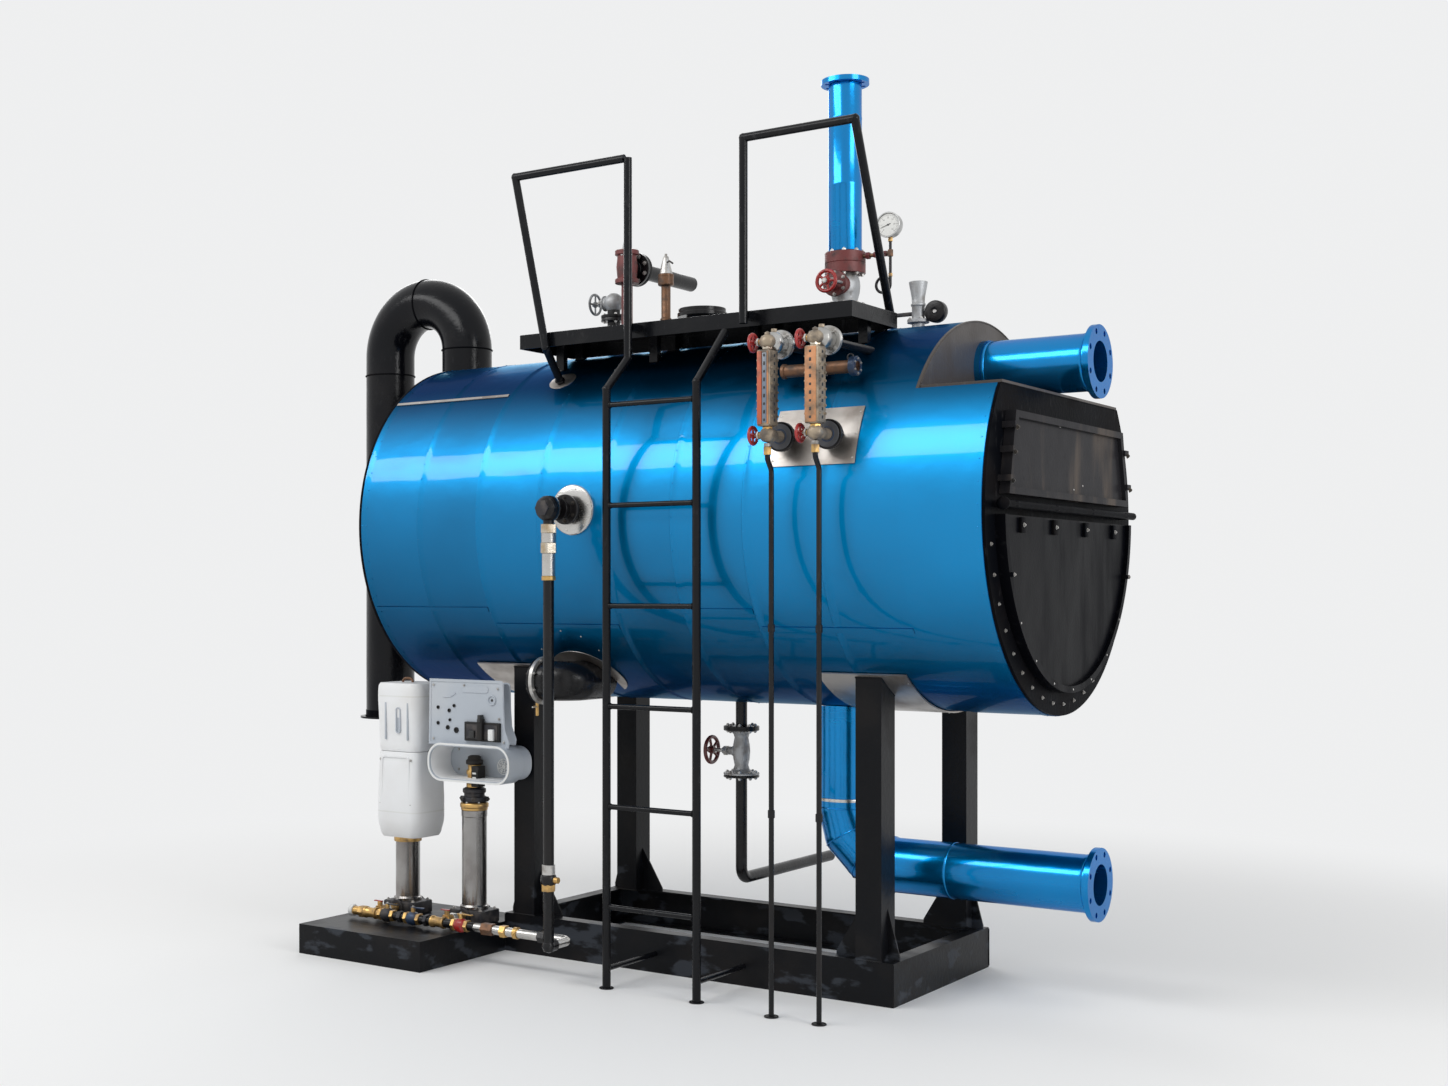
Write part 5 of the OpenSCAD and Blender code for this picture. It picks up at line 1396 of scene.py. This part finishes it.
def feed_inlet():
    """Feed line: check valve, union, down pipe and stop cock."""
    piece = Piece("feed_line", "pipe_black", ["feed_inlet"])
    x, y, z = FEED
    feed_check_valve(piece)
    union = ((-0.100, 0.036, 0.034, 6, "nickel"), (-0.140, 0.040, 0.031, 40, "bright_steel"),
             (-0.182, 0.042, 0.035, 6, "nickel"), (-0.275, 0.093, 0.028, 40, "bright_steel"),
             (-0.292, 0.017, 0.029, 40, "pipe_brass"))
    for drop, length, radius, sides, finish in union:
        piece.disc((x, y, z + drop), Z, radius, length, finish, sides)
    foot = (x, y, 0.165)
    piece.pipe([foot, (x, y, z - 0.02)], 0.0225, sides=28)
    cock = (x, y, 0.435)
    piece.turned(mm(0, -34, 20, -30, 31, -16, 34, 0, 31, 16, 20, 30, 0, 34), cock)
    piece.turned(mm(0, 15, 27, 16, 27, 60, 0, 60), cock, finish="bolt_steel")
    piece.disc((x, y, 0.388), Z, 0.030, 0.03, "pipe_brass", 6)
    piece.disc(cock, X, 0.013, 0.05, "pipe_brass", 20)
    piece.turned(mm(0, -28.5, 20, -22, 28.5, 0, 20, 22, 0, 28.5), foot)
    piece.disc(foot, Y, 0.0255, 0.04)
    piece.done()


def handhole():
    """Black elbow with its bolted cover, silver flange rim and hanging drain cock."""
    piece = Piece("handhole_elbow", "pipe_black", ["handhole"])
    x, y, z = -0.49, -0.61, 1.22
    piece.pipe([(x, -skin(z) + 0.012, z), (x, y, z), (-0.616, y, z)], 0.085, bend=0.0925, sides=48)
    piece.turned(mm(84, 0, 88, 2, 88, 6, 84, 8, 84, 0), (x - 0.0925, y, z), X, sides=48)
    face = Vector((-0.615, y, z))
    piece.disc(face, -X, 0.103, 0.0175, "bolt_steel", 64)
    piece.turned(mm(0, 17.5, 99, 18, 99, 32, 0, 32), face, -X, sides=64)
    piece.bolted((-0.647, y, z), -X, 0.083, 8, 0.009, finish="bolt_dark")
    piece.bolted(face, X, 0.094, 8, 0.007)
    cock = z - 0.062
    piece.disc((-0.647, y, cock), -X, 0.009, 0.018, "pipe_brass", 24)
    drop = Vector((-0.659, y, cock))
    piece.pipe([drop + Z * 0.012, drop - Z * 0.09], 0.007, "pipe_brass", sides=14)
    piece.disc(drop - Z * 0.02, Z, 0.012, 0.02, "pipe_brass", 6)
    lever = [drop - Z * 0.05, drop + Vector((0, -0.035, -0.052))]
    piece.pipe(lever, 0.0035, "bolt_steel", sides=10)
    piece.done()


def blowdown_valve():
    """Blowdown valve below the drum: flanges, slender body and the pipe to the back."""
    piece = Piece("blowdown_line", "valve_grey", ["blowdown_valve"])
    z = 0.905
    centre = Vector((0, 0, z))
    top = (LOW + 0.03 - z) * 1000
    upper = mm(0, top, 25, top, 25, 113, 78, 112, 78, 102.5, 76.5, 102, 78, 101.5, 78, 92, 0, 92)
    piece.turned(upper, centre, finish="pipe_black")
    body = mm(0, 92.5, 62, 91.5, 46, 88, 34, 74, 30, 60, 36, 30, 38, 0, 36, -30, 30, -60, 36, -78,
              50, -88, 78, -92, 78, -101, 0, -101.5)
    piece.turned(body, centre, sides=48)
    lower = mm(0, -102, 78, -103, 78, -112, 25, -113, 25, -130, 0, -130)
    piece.turned(lower, centre, finish="pipe_black", sides=48)
    piece.bolted(centre + Z * 0.112, Z, 0.06, 8, 0.008, 0.02)
    piece.bolted(centre - Z * 0.092, Z, 0.062, 8, 0.008, 0.02)
    path = [(0, 0, z - 0.12), (0, 0, 0.35), (0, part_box("blowdown_valve")[1][1], 0.35)]
    piece.pipe(path, 0.025, "pipe_black", bend=0.05, sides=28)
    piece.turned(mm(0, 0, 26, 0, 24, 30, 0, 30), (-0.01, 0, z), -X, cut=0.002)
    gland(piece, Vector((-0.032, 0, z)), -X, 0.018, 0.062, 0.008)
    piece.done()


# Feed pumps

def pump_foot(piece, x, height):
    """Cast foot, stainless column with its bands, and the foot's bolts; height in millimetres."""
    base = 0.13
    middle = Vector((x, PUMP_Y, base))
    piece.blocks(middle, (-90, -70, 0, 90, 70, 60, "valve_dark", 8))
    for side in (-1, 1):
        piece.bolts([(middle + Vector((side * 0.074, step * 0.052, 0.0595)), Z, 0.007)
                     for step in (-1, 1)])
        port = middle + Vector((0, side * 0.068, 0.035))
        piece.turned(mm(0, 0, 30, 0, 34, 4, 34, 16, 0, 16), port, Y * side, "valve_dark", 32)
    column = mm(0, 55, 64, 60, 64, 75, 56, 78, 56, height - 30, 58, height - 28, 58, height, 0, height)
    piece.turned(column, middle, finish="column_steel", sides=64)


def near_pump(piece):
    """Pump with its brass collar, the coupling inside the shroud and the plate above."""
    place = Vector((-1.045, PUMP_Y, 0))
    pump_foot(piece, place.x, 500)
    collar = mm(0, 630, 60, 630, 60, 641, 64, 643, 64, 659, 58, 664, 0, 664)
    piece.turned(collar, place, finish="pipe_brass", sides=48)
    piece.bolted(place + Z * 0.6635, Z, 0.054, 6, 0.005)
    clamp = mm(0, 663, 50, 664, 56, 668, 56, 688, 46, 692, 46, 704, 52, 708, 52, 724, 36, 732, 0, 732)
    piece.turned(clamp, place, finish="valve_dark", sides=36)
    for turn in (195, 250, 305, 20, 120):
        way = Vector((*polar(1, turn), 0))
        spot = place + way * 0.05 + Z * 0.679
        piece.disc(spot, way, 0.012, 0.016, "valve_dark", 6)
        piece.bolts([(spot + way * 0.0155, way, 0.005)], "bolt_dark")
    sleeve = mm(0, 729, 36, 730, 36, 748, 31, 751, 31, 786, 36, 789, 36, 806, 29, 810, 29, 832, 0, 832)
    piece.turned(sleeve, place, finish="pipe_brass", sides=32)
    crown = mm(0, 831, 36, 832, 38, 836, 38, 850, 30, 856, 30, 866, 22, 872, 0, 872)
    piece.turned(crown, place, finish="dark_rubber", sides=32)
    piece.blocks(place, (14, -42, 735, 54, 10, 828, "dark_rubber", 3),
                 *[(22, -42.8, z, 42, -41, z + 8, "rim_white", 0.5) for z in (752, 772, 792)])
    shroud(piece)
    connector_plate(piece, place.x)


def shroud(piece):
    """Round-ended hood that opens to the ladder side, with a pale rim and a fan dish inside."""
    matrix = upright((-1.0, -0.475, 0.845))
    hood = ((420, 130, 56, 0), (440, 150, 66, 12), (440, 150, 66, 78), (452, 162, 72, 80), (460, 170, 76, 88),
            (460, 170, 76, 172), (452, 162, 72, 186), (452, 162, 72, 190), (436, 146, 64, 190),
            (436, 146, 64, 40))
    piece.loft(hood, 10, matrix, "pump_grey")
    lip = ((454, 164, 73, 184), (460, 170, 76, 190.5), (442, 152, 67, 190.5), (440, 150, 66, 182))
    piece.loft(lip, 10, matrix, "rim_white", True)
    lining = ((435.5, 145.5, 64, 181), (435.5, 145.5, 64, 41), (432, 142, 62, 41), (432, 142, 62, 181))
    piece.loft(lining, 10, matrix, "cover_white", True)
    middle = matrix @ Vector((0.088, -0.02, 0.040))
    for radius in (0.036, 0.027, 0.018, 0.009):
        piece.turned(tube(radius - 0.0035, radius, 0.006), middle, -Y, "rim_white", 40, 0.001)
    for turn in (20, 65, 110, 155):
        x, z = polar(0.034, turn)
        spoke = [middle + Vector((side * x, -0.004, side * z)) for side in (1, -1)]
        piece.pipe(spoke, 0.0018, "rim_white", sides=8)
    screws = [(u, v, 0.040) for v in (0.045, -0.045) for u in (-0.17, 0.17)]
    piece.bolts([(matrix @ Vector(screw), -Y, 0.0045) for screw in screws])
    for u in (-0.12, 0.0, 0.12):
        piece.disc(matrix @ Vector((u, 0.0745, 0.045)), Z, 0.010, 0.004, "dark_rubber", 20)


def plate_outline(grow=0.0):
    """Outline of the connector plate: square at its left, with a flared foot at its right."""
    corners = mm(185, 132, -185, 132, -190, -132, 232, -132, 236, -105, 212, -50, 206, 20, 204, 118, 196, 130)
    return [(u + math.copysign(grow, u), v + math.copysign(grow, v)) for u, v in corners]


def connector_plate(piece, x):
    """Grey plate above the shroud with its socket block, plugs, bosses and screws."""
    matrix = upright((x, -0.565, 1.065))
    sections = [(plate_outline(grow), height) for grow, height in
                mm(-4, 0, 0, 5, 0, 63, -4, 69, -12, 70, -16, 66)]
    piece.add(lofted(sections, matrix), "pump_grey")
    piece.blocks(Vector((x, -0.631, 0)), (8, -12, 944, 205, 10, 1028, "dark_rubber", 3),
                 (20, -13.5, 954, 193, -11, 1018, "valve_dark", 2),
                 (92, -30, 950, 120, -5, 1045, "dark_rubber", 4),
                 (98, -34, 1030, 114, -5, 1062, "dial_black", 3),
                 (150, -26, 950, 178, -8, 1000, "rim_white", 4),
                 (40, -22, 958, 70, -8, 990, "dial_black", 3))
    bosses = ((-86, 8, 8.5), (-58, 30, 7.5), (-82, -34, 7), (-94, -68, 10), (-45, -78, 13), (-150, 20, 8),
              (-150, -50, 8))
    for u, v, radius in bosses:
        ring = mm(0, 0, radius, 0, radius, 5, radius * 0.6, 5, radius * 0.55, 1, 0, 1)
        piece.turned(ring, matrix @ Vector((u / 1000, v / 1000, 0.0655)), -Y, "dark_rubber", 24, 0.0005)
    knob = matrix @ Vector((0.155, 0.061, 0.0655))
    piece.turned(mm(16, 0, 24, 0, 22, 6, 18, 6, 16, 0), knob, -Y, sides=32)
    piece.turned(mm(0, 0, 7, 0, 6, 3, 0, 3), knob, -Y, "dial_black", 20)
    rib = [matrix @ Vector((u, v, 0.067)) for u, v in mm(-120, 66, -75, 70, -50, 86)]
    piece.pipe(rib, 0.0025, bend=0.02, sides=8)
    piece.add(slab(rounded(0.15, 0.03, 0.012, 4), 0.004, matrix @ Matrix.Translation((0.06, 0.106, 0.065))))
    screws = mm(-176, -120, -176, 120, 0, 122, 188, 112, 196, -20, 222, -120)
    piece.bolts([(matrix @ Vector((u, v, 0.069)), -Y, 0.0042) for u, v in screws])


def far_pump(piece):
    """Pump under its cover of two parts, split at the waist."""
    x = -1.415
    pump_foot(piece, -1.435, 360)
    matrix = Matrix.Translation((x, PUMP_Y, 0))
    lower = (487, 0.84, 500, 0.90, 550, 0.985, 570, 1.0, 660, 1.0, 800, 0.965, 868, 0.94, 876, 0.92)
    upper = (878, 0.90, 884, 0.925, 910, 0.945, 1020, 0.97, 1110, 1.0, 1150, 1.0, 1175, 0.985, 1187, 0.93)
    for levels in (lower, upper):
        rows = [(250 * share, 230 * share, 45 * share, z) for z, share in zip(levels[::2], levels[1::2])]
        piece.loft(rows, 8, matrix, "cover_white")
    for z in (600, 1125):
        piece.loft([(251.2, 231.2, 45.5, z), (251.2, 231.2, 45.5, z + 6)], 8, matrix, "rim_white")
    front = upright((x, PUMP_Y - 0.1085, 0.74))
    frame_rows = ((170, 240, 20, 0), (165, 235, 18, 6), (152, 222, 14, 6), (148, 218, 12, 1))
    piece.loft(frame_rows, 5, front, "cover_white")
    groove = ((30, 120, 14.5, 0), (28, 118, 13.5, 7), (18, 108, 8.5, 7), (16, 106, 7.5, 1))
    piece.loft(groove, 6, upright((x + 0.02, PUMP_Y - 0.111, 1.02)), "pump_grey")
    for rib in (75, -55):
        piece.blocks(Vector((x, PUMP_Y, 0)), (rib - 4, -118, 930, rib + 4, -100, 1100, "pump_grey", 3))
    piece.bolts([((x + u, PUMP_Y - 0.1085, z), -Y, 0.0045) for u in (-0.09, 0.09) for z in (0.64, 0.84)])
    handle = [(x + u, PUMP_Y, z) for u, z in mm(-50, 1180, -50, 1205, 10, 1205, 10, 1180)]
    piece.pipe(handle, 0.006, "valve_bronze", bend=0.02, sides=14)
    piece.disc((-1.435, PUMP_Y, 0.46), Z, 0.064, 0.027, "pipe_brass")


def ball_valve(piece, x, body, lever):
    """Small valve on the pumps' pipe: body, end nuts, stem and lever."""
    place = Vector((x, LINE_Y, LINE_Z))
    piece.turned(mm(0, -30, 22, -28, 29, -14, 31, 0, 29, 14, 22, 28, 0, 30), place, X, body, 28)
    for side in (-1, 1):
        piece.disc(place + X * side * 0.026, X * side, 0.027, 0.018, sides=6)
    piece.disc(place + Z * 0.022, Z, 0.010, 0.026, sides=20)
    piece.blocks(place, (-12, -7, 46, 62, 7, 51, lever, 1.5))
    piece.bolts([(place + Z * 0.0505, Z, 0.005)])


def feed_pumps():
    piece = Piece("feed_pump_pair", "pump_grey", ["feed_pumps"])
    near_pump(piece)
    far_pump(piece)
    piece.done()


def pump_manifold():
    """Brass tees, valves and couplings on the pumps' common pipe."""
    piece = Piece("brass_manifold", "pipe_brass", ["pump_manifold"])
    y, z = LINE_Y, LINE_Z
    piece.pipe([(-1.56, y, z), (-1.30, y, z)], 0.0195, sides=24)
    piece.pipe([(-1.31, y, z), (-0.84, y, z)], 0.0195, "pipe_black", sides=24)
    elbow = [(-0.85, y, z), (FEED.x, y, z), (FEED.x, FEED.y + 0.04, z)]
    piece.pipe(elbow, 0.0195, "bright_steel", 0.03, 24)
    piece.turned(mm(0, 0, 25.5, 0, 25.5, 20, 18, 24, 0, 24), (-1.536, y, z), -X, "rim_white")
    ball_valve(piece, -1.34, "valve_dark", "dial_black")
    ball_valve(piece, -1.19, "ring_blue", "ring_blue")
    ball_valve(piece, -0.92, "wheel_red", "pipe_brass")
    tee = mm(0, -36, 26, -36, 26, -24, 22, -22, 22, 22, 26, 24, 26, 36, 0, 36)
    for x in (-1.045, -1.435):
        place = Vector((x, y, z))
        piece.pipe([place, (x, PUMP_Y - 0.068, z)], 0.018, sides=24)
        piece.turned(tee, place, X, sides=28)
        piece.disc(place + Y * 0.045, Y, 0.027, 0.026, sides=6)
        piece.disc(place + Y * 0.085, Y, 0.027, 0.026, "bolt_steel", 6)
        piece.disc(place + Vector((0, 0.058, 0.022)), Z, 0.012, 0.02, sides=20)
        piece.blocks(place, (-32, 52, 41.5, 14, 64, 46, "wheel_red", 1))
    couplings = ((-1.50, 0.028, "pipe_brass"), (-1.27, 0.02, "valve_dark"), (-1.12, 0.018, "valve_dark"),
                 (-0.80, 0.06, "valve_bronze"), (-0.70, 0.03, "pipe_brass"), (-0.50, 0.06, "pipe_black"))
    for x, length, finish in couplings:
        piece.disc((x, y, z), X, 0.0275, length, finish, 6)
    wing = [(-0.62, y - 0.028, z), (-0.605, y, z + 0.024), (-0.62, y + 0.028, z)]
    piece.pipe(wing, 0.006, bend=0.02, sides=12)
    piece.turned(tube(0.0195, 0.025, 0.02), (-0.63, y, z), X, sides=28)
    piece.done()


# CAD nodes that keep their shape

def soft_edges(name):
    """Geometry tree that joins loose triangles and smooths the round faces."""
    tree = Growth(name)
    whole = tree.node("GeometryNodeMergeByDistance", inputs={0: tree.inputs["Geometry"], "Distance": 1e-5})
    angle = tree.node("GeometryNodeInputMeshEdgeAngle")
    round_faces = {"Geometry": whole, "Shade Smooth": True}
    smooth = tree.node("GeometryNodeSetShadeSmooth", {"domain": "FACE"}, round_faces)
    edges = {"Geometry": smooth, "Selection": angle > math.radians(32), "Shade Smooth": False}
    creased = tree.node("GeometryNodeSetShadeSmooth", {"domain": "EDGE"}, edges)
    tree.feed(tree.tree.nodes.new("NodeGroupOutput").inputs[0], creased)
    return tree.tree


def dress_cad():
    """Give each CAD node its finish and soften its round faces."""
    slots = {row["node"]: row["material_slot"] for row in frame["record"]["subparts"]}
    special = {"smoke_doors": "door_sheet", "flue_bend": "flue_black"}
    tree = soft_edges("soft_edges")
    for node, slot in slots.items():
        thing = frame["nodes"][node]
        for holder in thing.material_slots:
            holder.material = FINISH[special.get(node, slot)]
        modifier = thing.modifiers.new("soft_edges", "NODES")
        modifier.node_group = tree


# Stage, lights and camera

PHOTO_F = 1044
WINDOW_W = 853
WINDOW_MIDDLE = (830, 546)
PRINCIPAL = (724, 575)
EYE = (3.89, -6.753, 1.6)
AZIMUTH = 36.3
PALE = (0.86, 0.865, 0.87)
FLOOR_HALF = 60.0


def add_camera():
    """Camera of the photograph, cropped to the boiler."""
    data = bpy.data.cameras.new("camera")
    data.sensor_width = 36.0
    data.lens = PHOTO_F / WINDOW_W * data.sensor_width
    data.shift_x = (WINDOW_MIDDLE[0] - PRINCIPAL[0]) / WINDOW_W
    data.shift_y = (PRINCIPAL[1] - WINDOW_MIDDLE[1]) / WINDOW_W
    camera = bpy.data.objects.new("camera", data)
    camera.location = EYE
    camera.rotation_euler = (math.radians(90), 0, math.radians(AZIMUTH))
    bpy.context.scene.collection.objects.link(camera)
    bpy.context.scene.camera = camera


def add_lamp(name, place, aim, size, power):
    """Soft box lamp at a place, turned to an aim point."""
    data = bpy.data.lights.new(name, "AREA")
    data.shape = "RECTANGLE"
    data.size, data.size_y = size
    data.energy = power
    lamp = bpy.data.objects.new(name, data)
    lamp.location = place
    turn = (Vector(aim) - Vector(place)).to_track_quat("-Z", "Y")
    lamp.rotation_euler = turn.to_euler()
    bpy.context.scene.collection.objects.link(lamp)


def floor_finish():
    """Pale floor that fades into the backdrop far from the boiler."""
    paint = Paint("floor_pale", (0.86, 0.86, 0.855), 0.9)
    across, away = paint.axis(0), paint.axis(1)
    near = 1 - (across * across + away * away).ramp(1.0, 30.0)
    glow = paint.node("ShaderNodeEmission", inputs={"Color": (*PALE, 1), "Strength": 1.0})
    clear = Wire(paint, paint.shader.outputs[0])
    mixed = paint.node("ShaderNodeMixShader", inputs={0: near, 1: glow, 2: clear})
    paint.feed(paint.tree.nodes["Material Output"].inputs[0], mixed)
    return paint.material


def add_stage():
    """Pale floor, pale world and soft lamps."""
    scene = bpy.context.scene
    scene.view_settings.view_transform = "Standard"
    mesh = bpy.data.meshes.new("floor")
    corners = oblong((-FLOOR_HALF, -FLOOR_HALF), (FLOOR_HALF, FLOOR_HALF))
    mesh.from_pydata([(x, y, 0) for x, y in corners], [], [(0, 1, 2, 3)])
    floor = bpy.data.objects.new("floor", mesh)
    scene.collection.objects.link(floor)
    mesh.materials.append(floor_finish())
    world = bpy.data.worlds.new("world")
    world.use_nodes = True
    scene.world = world
    air = Tree(world.node_tree)
    seen = air.node("ShaderNodeLightPath") + air.node("ShaderNodeLightPath", out=3)
    seen = seen + air.node("ShaderNodeLightPath", out=6)
    backdrop = world.node_tree.nodes["Background"]
    backdrop.inputs["Color"].default_value = (*PALE, 1)
    air.feed(backdrop.inputs["Strength"], 0.68 + 0.32 * seen.ramp(0.0, 1.0))
    middle = (0, 0, 1.9)
    add_lamp("key", (-3.7, -5.1, 6.2), (-3.7, -0.7, 2.15), (7.6, 1.9), 255)
    add_lamp("side", (6.5, -1.5, 4.0), middle, (3.0, 3.0), 150)
    add_lamp("back", (-5.0, 5.5, 5.5), middle, (4.0, 3.0), 110)


for make in (add_camera, add_stage, drum_cladding, cladding_strips, saddle_rivets, plate_fixings,
             frame_welds, deck_tread, rail_joints, smokebox_fixings, duct_seams, flue_seams,
             rear_fixings, stop_valve, handwheels, steam_riser, pressure_gauge, weight_safety_valve,
             spring_safety_valve, vent_valve, gate_valve, top_cover, level_gauges, gauge_drains,
             level_switch, feed_inlet, handhole, blowdown_valve, feed_pumps, pump_manifold, dress_cad):
    make()
